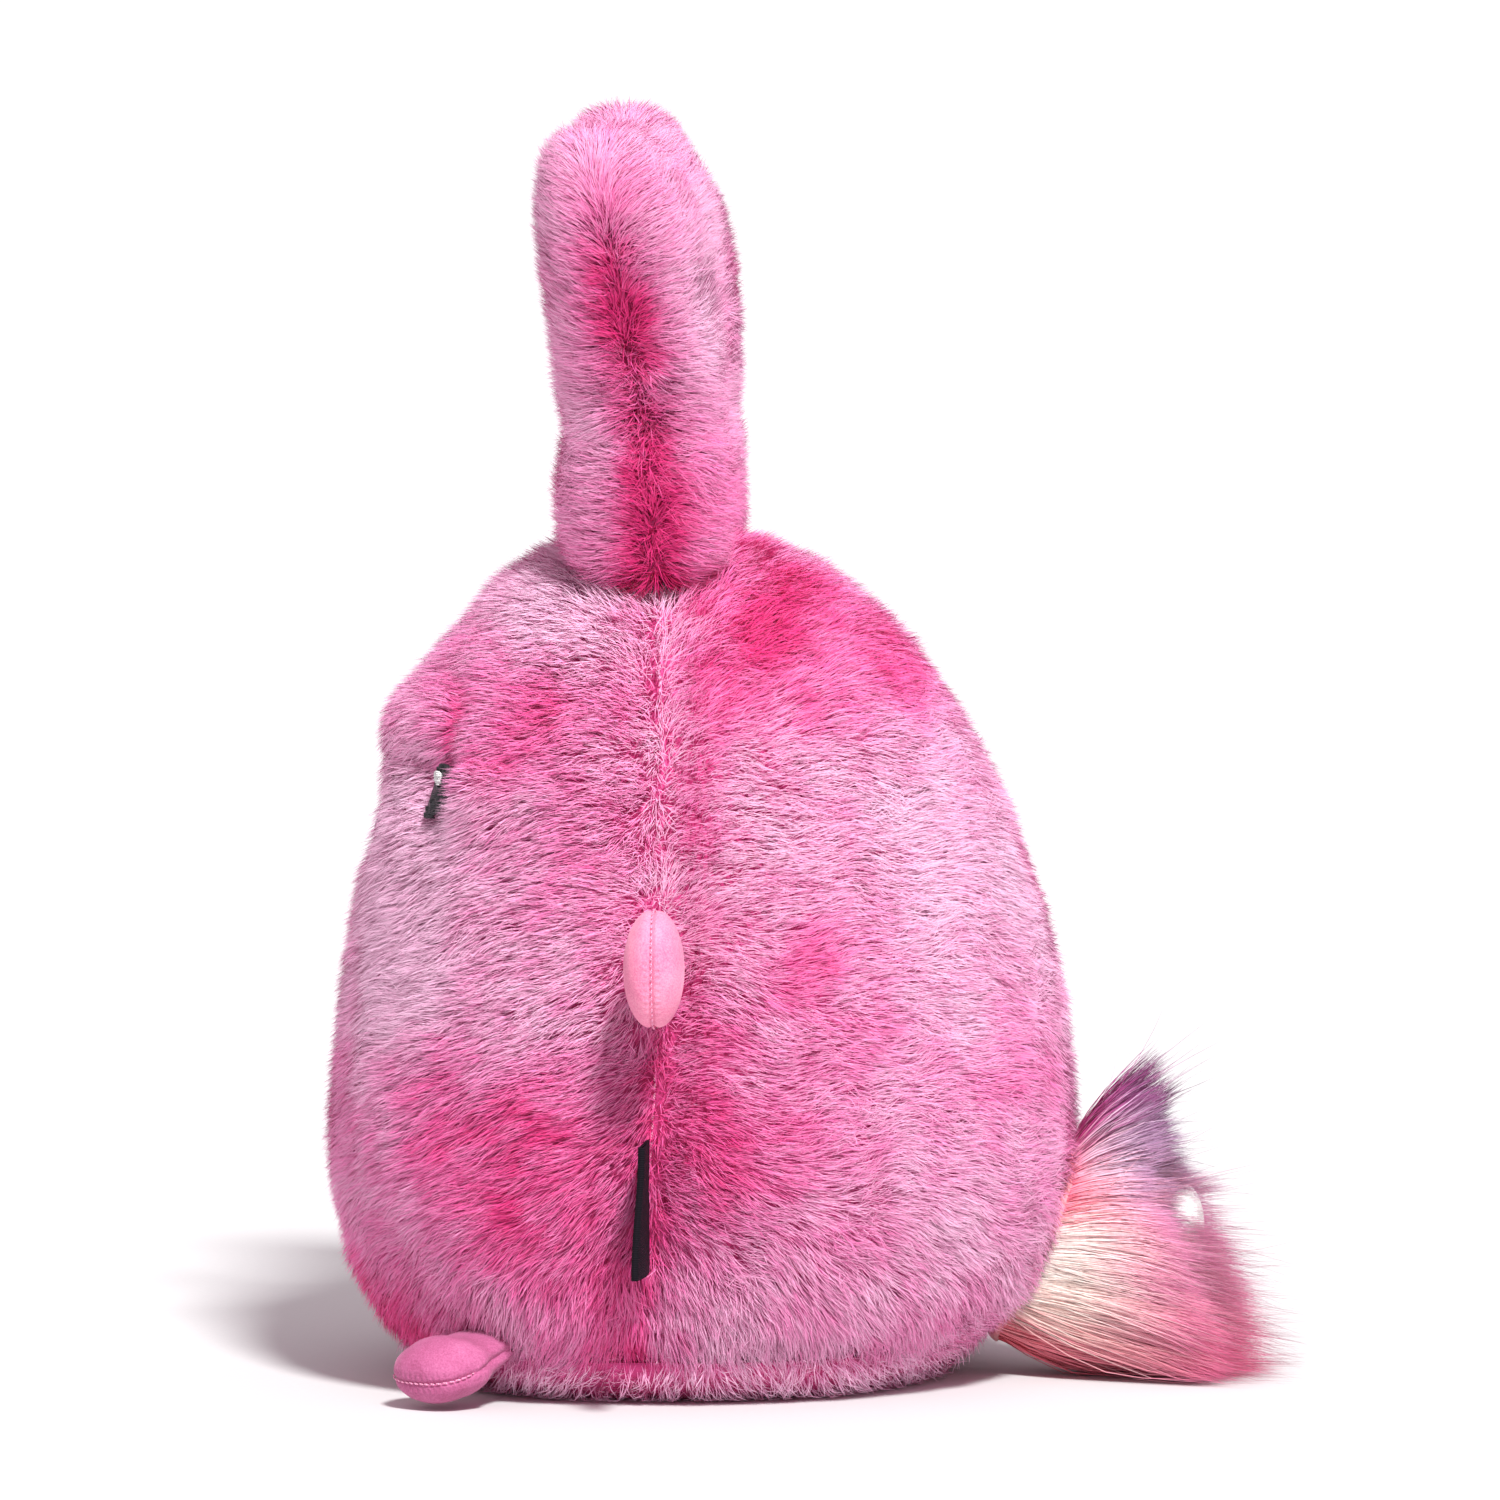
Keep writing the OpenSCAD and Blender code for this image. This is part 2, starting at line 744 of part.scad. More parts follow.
foot_fill(left);  // left_foot_fill
foot_edge_seam(left);  // left_foot_edge_seam
foot_panel(right, back);  // right_foot_top_panel
foot_panel(right, front);  // right_foot_sole_panel
foot_fill(right);  // right_foot_fill
foot_edge_seam(right);  // right_foot_edge_seam
tail_gather();
tail_fur_pouch();
tail_fill();
side_label();
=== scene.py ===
"""The looks of a sitting plush bunny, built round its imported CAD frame: padded skins of
knitted backing, a fur of mesh strands rooted on them, velour pads and embroidery."""
import json
import math
import bpy
import numpy as np
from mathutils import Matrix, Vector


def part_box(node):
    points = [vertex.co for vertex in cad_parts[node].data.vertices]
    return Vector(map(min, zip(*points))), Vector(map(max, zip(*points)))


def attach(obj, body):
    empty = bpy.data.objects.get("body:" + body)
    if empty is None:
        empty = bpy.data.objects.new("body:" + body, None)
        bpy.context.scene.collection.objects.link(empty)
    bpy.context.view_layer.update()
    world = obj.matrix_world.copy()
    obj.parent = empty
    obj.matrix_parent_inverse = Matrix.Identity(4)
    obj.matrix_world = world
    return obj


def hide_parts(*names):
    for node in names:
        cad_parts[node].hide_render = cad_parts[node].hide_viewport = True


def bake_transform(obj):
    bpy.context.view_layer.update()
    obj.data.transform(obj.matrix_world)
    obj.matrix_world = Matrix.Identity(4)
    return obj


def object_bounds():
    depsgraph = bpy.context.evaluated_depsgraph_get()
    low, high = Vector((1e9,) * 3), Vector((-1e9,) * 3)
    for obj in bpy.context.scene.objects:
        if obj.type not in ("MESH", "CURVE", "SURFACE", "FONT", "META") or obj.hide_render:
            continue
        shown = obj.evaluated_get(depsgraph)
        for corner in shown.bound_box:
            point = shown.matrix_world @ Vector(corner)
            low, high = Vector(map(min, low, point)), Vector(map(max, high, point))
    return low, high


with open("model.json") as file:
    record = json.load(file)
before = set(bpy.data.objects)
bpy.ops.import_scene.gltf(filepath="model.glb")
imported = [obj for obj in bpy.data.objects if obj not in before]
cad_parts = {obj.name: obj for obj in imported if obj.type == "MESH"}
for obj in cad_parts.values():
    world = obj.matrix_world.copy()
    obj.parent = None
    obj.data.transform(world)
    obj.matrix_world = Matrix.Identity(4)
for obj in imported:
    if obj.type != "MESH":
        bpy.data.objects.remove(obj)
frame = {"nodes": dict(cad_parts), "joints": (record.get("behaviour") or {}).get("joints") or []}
CAD_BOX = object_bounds()

MM = 0.001
SCENE = bpy.context.scene
JOINTS = {j["name"]: j for j in frame["joints"]}
SIDES = (("left", 1.0), ("right", -1.0))
UP = np.array([0.0, 0.0, 1.0])
BACK = np.array([0.0, 1.0, 0.0])

# --- numbers of the whole scene ------------------------------------------------------

CUSHION_VOXEL = 6 * MM
EAR_VOXEL = 4.5 * MM
PAD_VOXEL = 2 * MM
SIM_FRAMES = 20
PRESSURE = 4.0

FUR_LENGTH = 12 * MM
FUR_WIDTH = 0.175 * MM       # half the width of a strand at its root
FUR_COUNT = 86000            # strands in one of the four quarters of the body's fur
BASE_COUNT = 30000
EAR_COUNT = 36000            # strands on one panel of an ear
TAIL_COUNT = 20000           # strands in one of the tail's two layers
FLOOR_CLEAR = 0.4 * MM

CAMERA_AZIMUTH = 93.2        # degrees from the front towards the left side
CAMERA_ELEVATION = 4.6
VIEW_WIDTH = 0.528           # what the picture spans at the plush, in metres


# --- small numpy tools ---------------------------------------------------------------

def unit(v):
    return v / np.maximum(np.linalg.norm(v, axis=-1, keepdims=True), 1e-12)


def smoothstep(low, high, x):
    t = np.clip((x - low) / (high - low), 0, 1)
    return t * t * (3 - 2 * t)


def lattice_key(at):
    return ((at[:, 0] * 73856093) ^ (at[:, 1] * 19349663) ^ (at[:, 2] * 83492791)) & 4095


def noise(p, cell, seed, channels=1):
    """Smooth random values from -1 to 1, with features about one cell across."""
    q = p / cell
    low = np.floor(q).astype(np.int64)
    f = q - low
    f = f * f * (3 - 2 * f)
    table = np.random.default_rng(seed).uniform(-1, 1, (4096, channels))
    total = np.zeros((len(p), channels))
    for corner in range(8):
        bit = np.array([(corner >> i) & 1 for i in range(3)])
        weight = np.prod(np.where(bit, f, 1 - f), axis=1)
        total += table[lattice_key(low + bit)] * weight[:, None]
    return total if channels > 1 else total[:, 0]


def tuft_pull(p, cell, seed):
    """Vector from each point to the nearest of the irregular centres that tufts gather on."""
    table = np.random.default_rng(seed).uniform(0, 1, (4096, 3))
    low = np.floor(p / cell).astype(np.int64)
    best = np.full(len(p), np.inf)
    pull = np.zeros_like(p)
    for step in np.ndindex(3, 3, 3):
        at = low + np.array(step) - 1
        d = (at + table[lattice_key(at)]) * cell - p
        far = np.einsum("ij,ij->i", d, d)
        nearer = far < best
        best[nearer] = far[nearer]
        pull[nearer] = d[nearer]
    return pull


def linear(*srgb):
    """A colour given as 0-255 screen values, in the renderer's linear values."""
    c = np.array(srgb, float) / 255
    return np.where(c <= 0.04045, c / 12.92, ((c + 0.055) / 1.055) ** 2.4)


def nearest_point(p, targets):
    """Index of the nearest target for each point, and how far it is."""
    index = np.empty(len(p), int)
    far = np.empty(len(p))
    for start in range(0, len(p), 4000):
        part = p[start:start + 4000]
        d = np.linalg.norm(part[:, None] - targets[None], axis=2)
        index[start:start + 4000] = d.argmin(axis=1)
        far[start:start + 4000] = d.min(axis=1)
    return index, far


# --- meshes --------------------------------------------------------------------------

def vertices_of(mesh):
    co = np.empty(len(mesh.vertices) * 3)
    mesh.vertices.foreach_get("co", co)
    return co.reshape(-1, 3)


def normals_of(mesh):
    n = np.empty(len(mesh.vertices) * 3)
    mesh.vertex_normals.foreach_get("vector", n)
    return n.reshape(-1, 3)


def triangles_of(mesh):
    mesh.calc_loop_triangles()
    t = np.empty(len(mesh.loop_triangles) * 3, np.int32)
    mesh.loop_triangles.foreach_get("vertices", t)
    return t.reshape(-1, 3)


def cad_vertices(*nodes):
    return np.concatenate([vertices_of(frame["nodes"][n].data) for n in nodes])


def new_object(name, mesh):
    obj = bpy.data.objects.new(name, mesh)
    SCENE.collection.objects.link(obj)
    return obj


def mesh_from(name, verts, faces, smooth=True):
    mesh = bpy.data.meshes.new(name)
    mesh.from_pydata([tuple(v) for v in verts], [], [tuple(int(i) for i in f) for f in faces])
    mesh.update()
    if smooth:
        mesh.shade_smooth()
    return mesh


def baked_mesh(obj):
    """The object's mesh with its modifiers applied."""
    depsgraph = bpy.context.evaluated_depsgraph_get()
    depsgraph.update()
    return bpy.data.meshes.new_from_object(obj.evaluated_get(depsgraph))


def set_mesh(obj, mesh):
    obj.modifiers.clear()
    obj.data = mesh


def set_vertices(mesh, co):
    mesh.vertices.foreach_set("co", np.ascontiguousarray(co, np.float32).reshape(-1))
    mesh.update()


def cushion(name, nodes, voxel, inset=0.0):
    """CAD solids as one even skin, moved in by inset, ready to be blown up."""
    verts, faces, first = [], [], 0
    for node in nodes:
        mesh = frame["nodes"][node].data
        verts.append(vertices_of(mesh))
        faces.append(triangles_of(mesh) + first)
        first += len(mesh.vertices)
    obj = new_object(name, mesh_from(name, np.concatenate(verts), np.concatenate(faces)))
    remesh = obj.modifiers.new("Remesh", "REMESH")
    remesh.mode = "VOXEL"
    remesh.voxel_size = voxel
    remesh.use_smooth_shade = True
    set_mesh(obj, baked_mesh(obj))
    if inset:
        set_vertices(obj.data, vertices_of(obj.data) - inset * normals_of(obj.data))
    return obj


def add_cloth(obj, held):
    """Cloth under inside pressure; held is how firmly each vertex stays where it is."""
    group = obj.vertex_groups.new(name="seams")
    for level in (1.0, 0.6, 0.3):
        chosen = np.nonzero(np.abs(held - level) < 0.15)[0]
        group.add([int(i) for i in chosen], level, "REPLACE")
    cloth = obj.modifiers.new("Cloth", "CLOTH")
    settings = cloth.settings
    settings.quality = 4
    settings.mass = 0.3
    settings.tension_stiffness = 12
    settings.compression_stiffness = 12
    settings.shear_stiffness = 4
    settings.bending_stiffness = 0.4
    settings.use_pressure = True
    settings.uniform_pressure_force = PRESSURE
    settings.vertex_group_mass = "seams"
    settings.effector_weights.gravity = 0
    cloth.point_cache.frame_start = 1
    cloth.point_cache.frame_end = SIM_FRAMES


def blow_up(cushions):
    """Simulates all cushions at once, and keeps each vertex within its cap."""
    rest = {obj.name: vertices_of(obj.data) for obj, _ in cushions}
    for number in range(1, SIM_FRAMES + 1):
        SCENE.frame_set(number)
    for obj, cap in cushions:
        start = rest[obj.name]
        moved = vertices_of(baked_mesh(obj))
        step = moved - start
        far = np.linalg.norm(step, axis=1, keepdims=True)
        step *= np.minimum(1, cap / np.maximum(far, 1e-9))
        obj.modifiers.clear()
        obj.vertex_groups.clear()
        set_vertices(obj.data, start + np.nan_to_num(step))
        obj.modifiers.new("Subdivision", "SUBSURF").levels = 1
        set_mesh(obj, baked_mesh(obj))
        obj.data.shade_smooth()
    SCENE.frame_set(1)


def held_near(obj, nodes, reach):
    """1 at a seam's thread and less out to reach, as the weights that add_cloth wants."""
    _, far = nearest_point(vertices_of(obj.data), cad_vertices(*nodes))
    return np.select([far < 0.5 * reach, far < 0.75 * reach, far < reach], [1.0, 0.6, 0.3], 0.0)


def sink_along(verts, normals, targets, depth, reach, start=0.0):
    """Pulls the skin in beside a line of stitches, to depth at distance start."""
    _, far = nearest_point(verts, targets)
    share = np.exp(-(np.maximum(0, far - start) / reach) ** 2)
    return verts - normals * (depth * share)[:, None]


def sink_at(verts, normals, centre, depth, reach):
    far = np.linalg.norm(verts - np.array(centre), axis=1)
    return verts - normals * (depth * np.exp(-(far / reach) ** 2))[:, None]


def panel_of(name, obj, chosen):
    """A new object from the chosen faces of obj."""
    mesh = obj.data
    faces = [tuple(p.vertices) for p, keep in zip(mesh.polygons, chosen) if keep]
    used = sorted({i for f in faces for i in f})
    place = {old: new for new, old in enumerate(used)}
    co = vertices_of(mesh)[used]
    return new_object(name, mesh_from(name, co, [[place[i] for i in f] for f in faces]))


def face_centres(mesh):
    c = np.empty(len(mesh.polygons) * 3)
    mesh.polygons.foreach_get("center", c)
    return c.reshape(-1, 3)


# --- materials -----------------------------------------------------------------------

def material(name, color, roughness, sheen=0.0, sheen_color=(1, 1, 1)):
    m = bpy.data.materials.new(name)
    m.use_nodes = True
    shader = m.node_tree.nodes["Principled BSDF"]
    shader.inputs["Base Color"].default_value = (*color, 1)
    shader.inputs["Roughness"].default_value = roughness
    shader.inputs["Sheen Weight"].default_value = sheen
    shader.inputs["Sheen Tint"].default_value = (*sheen_color, 1)
    return m, m.node_tree, shader


def object_noise(tree, scale, detail=3.0, rough=0.6):
    where = tree.nodes.new("ShaderNodeTexCoord")
    tex = tree.nodes.new("ShaderNodeTexNoise")
    tex.inputs["Scale"].default_value = scale
    tex.inputs["Detail"].default_value = detail
    tex.inputs["Roughness"].default_value = rough
    tree.links.new(where.outputs["Object"], tex.inputs["Vector"])
    return tex


def object_wave(tree, scale, distortion=0.0, direction="X"):
    where = tree.nodes.new("ShaderNodeTexCoord")
    wave = tree.nodes.new("ShaderNodeTexWave")
    wave.bands_direction = direction
    wave.inputs["Scale"].default_value = scale
    wave.inputs["Distortion"].default_value = distortion
    tree.links.new(where.outputs["Object"], wave.inputs["Vector"])
    return wave


def ramp(tree, value, stops):
    node = tree.nodes.new("ShaderNodeValToRGB")
    while len(node.color_ramp.elements) < len(stops):
        node.color_ramp.elements.new(0.5)
    for element, (place, color) in zip(node.color_ramp.elements, stops):
        element.position = place
        element.color = (*color, 1)
    tree.links.new(value, node.inputs["Fac"])
    return node.outputs["Color"]


def roughness_from(tree, shader, value, low, high):
    spread = tree.nodes.new("ShaderNodeMapRange")
    spread.inputs["To Min"].default_value = low
    spread.inputs["To Max"].default_value = high
    tree.links.new(value, spread.inputs["Value"])
    tree.links.new(spread.outputs["Result"], shader.inputs["Roughness"])


def bump_from(tree, shader, height, depth, strength=1.0):
    bump = tree.nodes.new("ShaderNodeBump")
    bump.inputs["Distance"].default_value = depth
    bump.inputs["Strength"].default_value = strength
    tree.links.new(height, bump.inputs["Height"])
    tree.links.new(bump.outputs["Normal"], shader.inputs["Normal"])


def pile_material(name, sheen_color, roughness=0.6, sheen=0.12):
    """Strands: their own tint, with a fine streakiness from noise."""
    m, tree, shader = material(name, (0.9, 0.4, 0.6), roughness, sheen, sheen_color)
    tint = tree.nodes.new("ShaderNodeAttribute")
    tint.attribute_name = "tint"
    streak = ramp(tree, object_noise(tree, 700, 2.0).outputs["Fac"],
                  [(0.3, (0.82, 0.80, 0.82)), (0.7, (1.0, 1.0, 1.0))])
    mix = tree.nodes.new("ShaderNodeMix")
    mix.data_type = "RGBA"
    mix.blend_type = "MULTIPLY"
    mix.inputs["Factor"].default_value = 1.0
    tree.links.new(tint.outputs["Color"], mix.inputs["A"])
    tree.links.new(streak, mix.inputs["B"])
    tree.links.new(mix.outputs["Result"], shader.inputs["Base Color"])
    shader.inputs["Specular IOR Level"].default_value = 0.25
    return m


def knit_material(name, dark, light):
    """The backing that the pile is knitted into: fine wales over a mottled dye."""
    m, tree, shader = material(name, dark, 0.9)
    blotch = object_noise(tree, 60, 4.0)
    tree.links.new(ramp(tree, blotch.outputs["Fac"], [(0.35, dark), (0.7, light)]),
                   shader.inputs["Base Color"])
    wave = object_wave(tree, 260, 1.5)
    bump_from(tree, shader, wave.outputs["Fac"], 0.3 * MM)
    roughness_from(tree, shader, blotch.outputs["Fac"], 0.8, 1.0)
    return m


def velour_material(name, deep, middle, bright):
    """Short dense pile: soft speckle, brushed patches and a bright edge."""
    m, tree, shader = material(name, middle, 0.85, 0.25,
                               linear(255, 205, 226))
    shader.inputs["Sheen Roughness"].default_value = 0.35
    fine = object_noise(tree, 1500, 2.0, 0.7)
    brushed = object_noise(tree, 70, 3.0)
    both = tree.nodes.new("ShaderNodeMath")
    both.operation = "MULTIPLY_ADD"
    both.inputs[1].default_value = 0.55
    tree.links.new(fine.outputs["Fac"], both.inputs[0])
    half = tree.nodes.new("ShaderNodeMath")
    half.operation = "MULTIPLY"
    half.inputs[1].default_value = 0.45
    tree.links.new(brushed.outputs["Fac"], half.inputs[0])
    tree.links.new(half.outputs["Value"], both.inputs[2])
    tree.links.new(ramp(tree, both.outputs["Value"],
                        [(0.32, deep), (0.5, middle), (0.68, bright)]),
                   shader.inputs["Base Color"])
    bump_from(tree, shader, fine.outputs["Fac"], 0.25 * MM)
    roughness_from(tree, shader, brushed.outputs["Fac"], 0.75, 0.95)
    return m


def thread_material(name, dark, light, gloss=0.45):
    """Twisted thread: plies as a fine slanting wave."""
    m, tree, shader = material(name, dark, gloss)
    wave = object_wave(tree, 700, 0.8, "DIAGONAL")
    tree.links.new(ramp(tree, wave.outputs["Fac"], [(0.2, dark), (0.8, light)]),
                   shader.inputs["Base Color"])
    bump_from(tree, shader, wave.outputs["Fac"], 0.15 * MM)
    roughness_from(tree, shader, wave.outputs["Fac"], gloss, gloss + 0.25)
    return m


def ribbon_material():
    """Black satin ribbon with fine cross ribs."""
    m, tree, shader = material("ribbon", (0.006, 0.005, 0.008), 0.7)
    shader.inputs["Specular IOR Level"].default_value = 0.08
    ribs = object_wave(tree, 500, direction="Z")
    tree.links.new(ramp(tree, ribs.outputs["Fac"],
                        [(0.0, (0.003, 0.002, 0.004)), (1.0, (0.012, 0.009, 0.014))]),
                   shader.inputs["Base Color"])
    bump_from(tree, shader, ribs.outputs["Fac"], 0.1 * MM)
    roughness_from(tree, shader, object_noise(tree, 300).outputs["Fac"], 0.6, 0.8)
    return m


def fibre_material():
    m, tree, shader = material("polyester_fibre", (0.85, 0.84, 0.82), 0.95)
    curl = object_noise(tree, 250, 6.0, 0.7)
    tree.links.new(ramp(tree, curl.outputs["Fac"],
                        [(0.3, (0.62, 0.60, 0.58)), (0.7, (0.92, 0.91, 0.89))]),
                   shader.inputs["Base Color"])
    bump_from(tree, shader, curl.outputs["Fac"], 1.5 * MM)
    return m


FUR = pile_material("plush_pile", linear(255, 214, 236))
TAIL_FUR = pile_material("long_tail_pile", linear(255, 240, 240), 0.42, 0.1)
BACKING = knit_material("plush_backing", linear(170, 30, 95), linear(225, 80, 150))
TAIL_BACKING = knit_material("tail_backing", linear(225, 110, 130), linear(250, 190, 190))
ARM_VELOUR = velour_material("arm_velour", linear(212, 104, 146), linear(236, 138, 172),
                             linear(246, 166, 192))
# The feet's velour is the arm's fabric in darker pinks: painted shade for the feet under the belly
SHADED_FOOT_VELOUR = velour_material("foot_velour_painted_shade", linear(160, 70, 112), linear(186, 94, 140),
                              linear(206, 118, 162))
SEAM_THREAD = thread_material("seam_thread", linear(226, 110, 165), linear(255, 190, 220))
PAD_THREAD = thread_material("pad_thread", linear(226, 130, 172), linear(246, 176, 206))
BLACK_THREAD = thread_material("black_thread", (0.006, 0.005, 0.007), (0.05, 0.045, 0.055),
                               0.3)
WHITE_THREAD = thread_material("white_thread", (0.75, 0.74, 0.74), (0.95, 0.95, 0.94))
NOSE_THREAD = thread_material("nose_thread", linear(185, 35, 95), linear(240, 110, 165))
RIBBON = ribbon_material()
FIBRE = fibre_material()



def rethread(node, look):
    """Gives a CAD thread that stays visible its material."""
    materials = frame["nodes"][node].data.materials
    materials.clear()
    materials.append(look)


rethread("closing_stitches", SEAM_THREAD)
rethread("tail_gather", SEAM_THREAD)
rethread("mouth_stitches", BLACK_THREAD)


# --- camera, light and floor ---------------------------------------------------------

def look_at(obj, place, target):
    obj.location = place
    d = np.array(target, float) - np.array(place, float)
    yaw = math.atan2(-d[0], d[1])
    pitch = math.atan2(d[2], math.hypot(d[0], d[1]))
    obj.rotation_euler = (math.pi / 2 + pitch, 0, yaw)


def distant_light(name, azimuth, elevation, spread, power, color=(1, 1, 1)):
    """A large soft lamp far away; azimuth is counted from the front towards the left side."""
    data = bpy.data.lights.new(name, "SUN")
    data.angle = math.radians(spread)
    data.energy = power
    data.color = color
    obj = bpy.data.objects.new(name, data)
    SCENE.collection.objects.link(obj)
    a, e = math.radians(azimuth), math.radians(elevation)
    place = (math.sin(a) * math.cos(e), -math.cos(a) * math.cos(e), math.sin(e))
    look_at(obj, place, (0, 0, 0))


def make_studio():
    top = CAD_BOX[1][2]
    target = np.array([0.0, 16.5 * MM, 0.491 * top])
    azimuth, elevation = math.radians(CAMERA_AZIMUTH), math.radians(CAMERA_ELEVATION)
    away = 6.0
    camera = bpy.data.objects.new("camera", bpy.data.cameras.new("camera"))
    SCENE.collection.objects.link(camera)
    camera.data.sensor_width = 36
    camera.data.lens = camera.data.sensor_width * away / VIEW_WIDTH
    place = target + away * np.array([
        math.sin(azimuth) * math.cos(elevation),
        -math.cos(azimuth) * math.cos(elevation),
        math.sin(elevation)])
    look_at(camera, place, target)
    SCENE.camera = camera

    distant_light("key", 112, 49, 9, 4.3)

    world = bpy.data.worlds.new("studio")
    SCENE.world = world
    world.use_nodes = True
    tree = world.node_tree
    light = tree.nodes["Background"]
    light.inputs["Color"].default_value = (1.0, 0.87, 0.935, 1)
    light.inputs["Strength"].default_value = 0.62
    sweep = tree.nodes.new("ShaderNodeBackground")
    sweep.inputs["Strength"].default_value = 1.0
    sweep.inputs["Color"].default_value = (1, 1, 1, 1)
    path = tree.nodes.new("ShaderNodeLightPath")
    mix = tree.nodes.new("ShaderNodeMixShader")
    tree.links.new(path.outputs["Is Camera Ray"], mix.inputs[0])
    tree.links.new(light.outputs[0], mix.inputs[1])
    tree.links.new(sweep.outputs[0], mix.inputs[2])
    tree.links.new(mix.outputs[0], tree.nodes["World Output"].inputs["Surface"])

    half = 60.0
    floor = new_object("floor", mesh_from("floor", [
        (-half, -half, 0), (half, -half, 0), (half, half, 0), (-half, half, 0)],
        [(0, 1, 2, 3)], smooth=False))
    paper, tree, shader = material("floor_paper", (0.70, 0.69, 0.695), 0.8)
    grain = object_noise(tree, 400)
    tree.links.new(ramp(tree, grain.outputs["Fac"],
                        [(0.3, (0.70, 0.705, 0.70)), (0.7, (0.72, 0.725, 0.72))]),
                   shader.inputs["Base Color"])
    floor.data.materials.append(paper)
    SCENE.view_settings.view_transform = "Standard"


make_studio()


# --- the places of the seams, from the CAD -------------------------------------------

SEAM = cad_vertices("left_side_seam")
SEAM_CURVE = np.polyfit(SEAM[:, 2], SEAM[:, 1], 4)


def centre_of(node):
    low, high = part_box(node)
    return (np.array(low) + np.array(high)) / 2


def seam_y(z):
    """Y of the side seams at a height; they bow back between the floor and the crown."""
    return np.polyval(SEAM_CURVE, z)


EYES = {side: centre_of(side + "_eye") for side, _ in SIDES}
NOSE = centre_of("nose")


# --- cushions under the fur, blown up together ---------------------------------------

body = cushion("body_cushion", ["body_fill"], CUSHION_VOXEL)
ears = {s: cushion(s + "_ear_cushion", [s + "_ear_fill"], EAR_VOXEL) for s, _ in SIDES}
arms = {s: cushion(s + "_arm_cushion", [s + "_arm_fill"], PAD_VOXEL) for s, _ in SIDES}
feet = {s: cushion(s + "_foot_cushion", [s + "_foot_fill"], PAD_VOXEL) for s, _ in SIDES}
tail = cushion("tail_cushion", ["tail_fill"], EAR_VOXEL)

add_cloth(body, held_near(body, ["left_side_seam", "right_side_seam", "base_seam"],
                          16 * MM))
for s, _ in SIDES:
    add_cloth(ears[s], held_near(ears[s], [s + "_ear_edge_seam"], 12 * MM))
    add_cloth(arms[s], held_near(arms[s], [s + "_arm_edge_seam"], 4 * MM))
    add_cloth(feet[s], held_near(feet[s], [s + "_foot_edge_seam"], 4 * MM))
add_cloth(tail, held_near(tail, ["tail_gather"], 16 * MM))

blow_up([(body, 4 * MM), (tail, 3 * MM)]
        + [(ears[s], 3 * MM) for s, _ in SIDES]
        + [(arms[s], 1.5 * MM) for s, _ in SIDES]
        + [(feet[s], 1.5 * MM) for s, _ in SIDES])


# --- body skins ----------------------------------------------------------------------

def face_crease(p):
    """1 in the folds of the face: from each eye towards the nose, and up beside the brow."""
    front = smoothstep(0, 60 * MM, seam_y(p[:, 2]) - p[:, 1])
    rise = p[:, 2] - EYES["left"][2]
    across = np.abs(p[:, 0]) / EYES["left"][0]
    wide = np.exp(-(across / 1.12) ** 6) * (0.06 + 0.94 * np.clip(across, 0, 1) ** 2)
    crease = front * wide * np.exp(-((rise - 9 * MM) / (4.5 * MM)) ** 2)
    behind = p[:, 1] - EYES["left"][1] - 6 * MM - 0.12 * rise
    groove = np.exp(-(behind / (3.5 * MM)) ** 2)
    groove *= smoothstep(-8 * MM, 2 * MM, rise) * smoothstep(42 * MM, 24 * MM, rise)
    return np.maximum(crease, 0.7 * groove)


# A small pucker low on the left side of the back, where a filling tuft is caught
BACK_DIMPLE = np.array([94, 101, 102]) * MM


def base_tuck(p):
    """How far a place is towards the back edge of the base, where the body curls in."""
    return smoothstep(30 * MM, 95 * MM, p[:, 1])


def shape_body():
    """Pulls the swollen body in at its seams, eyes and nose, and gives it soft lumps."""
    mesh = body.data
    co, n = vertices_of(mesh), normals_of(mesh)
    co += n * (3.6 * MM + 1.3 * MM * noise(co, 46 * MM, 21))[:, None]
    co = sink_along(co, n, cad_vertices("left_side_seam", "right_side_seam"),
                    2.6 * MM, 7 * MM, 4 * MM)
    co = sink_along(co, n, cad_vertices("base_seam", "closing_stitches"),
                    1.6 * MM, 7 * MM, 4 * MM)
    co[:, 1] -= 9 * MM * base_tuck(co) * smoothstep(40 * MM, 10 * MM, co[:, 2])
    for eye in EYES.values():
        co = sink_at(co, n, eye * np.array([0.93, 1, 1]), 9 * MM, 14 * MM)
    co = sink_at(co, n, NOSE, 7 * MM, 13 * MM)
    front = smoothstep(0, 60 * MM, seam_y(co[:, 2]) - co[:, 1])
    brow = np.exp(-((co[:, 2] - EYES["left"][2] - 17 * MM) / (17 * MM)) ** 2)
    brow *= front * np.exp(-(co[:, 0] / (85 * MM)) ** 4)
    co += n * (7.5 * MM * brow)[:, None]
    co -= n * (8.0 * MM * face_crease(co))[:, None]
    for eye in EYES.values():
        cheek = eye + np.array([0.14 * eye[0], 14 * MM, 0])
        far = np.linalg.norm(co - cheek, axis=1)
        co += n * (7.5 * MM * np.exp(-(far / (12 * MM)) ** 2))[:, None]
    co = sink_at(co, n, BACK_DIMPLE, 6 * MM, 6 * MM)
    set_vertices(mesh, co)


shape_body()
centres = face_centres(body.data)
in_front = centres[:, 1] < seam_y(centres[:, 2])
front_skin = panel_of("body_front_skin", body, in_front)
back_skin = panel_of("body_back_skin", body, ~in_front)
bpy.data.objects.remove(body)


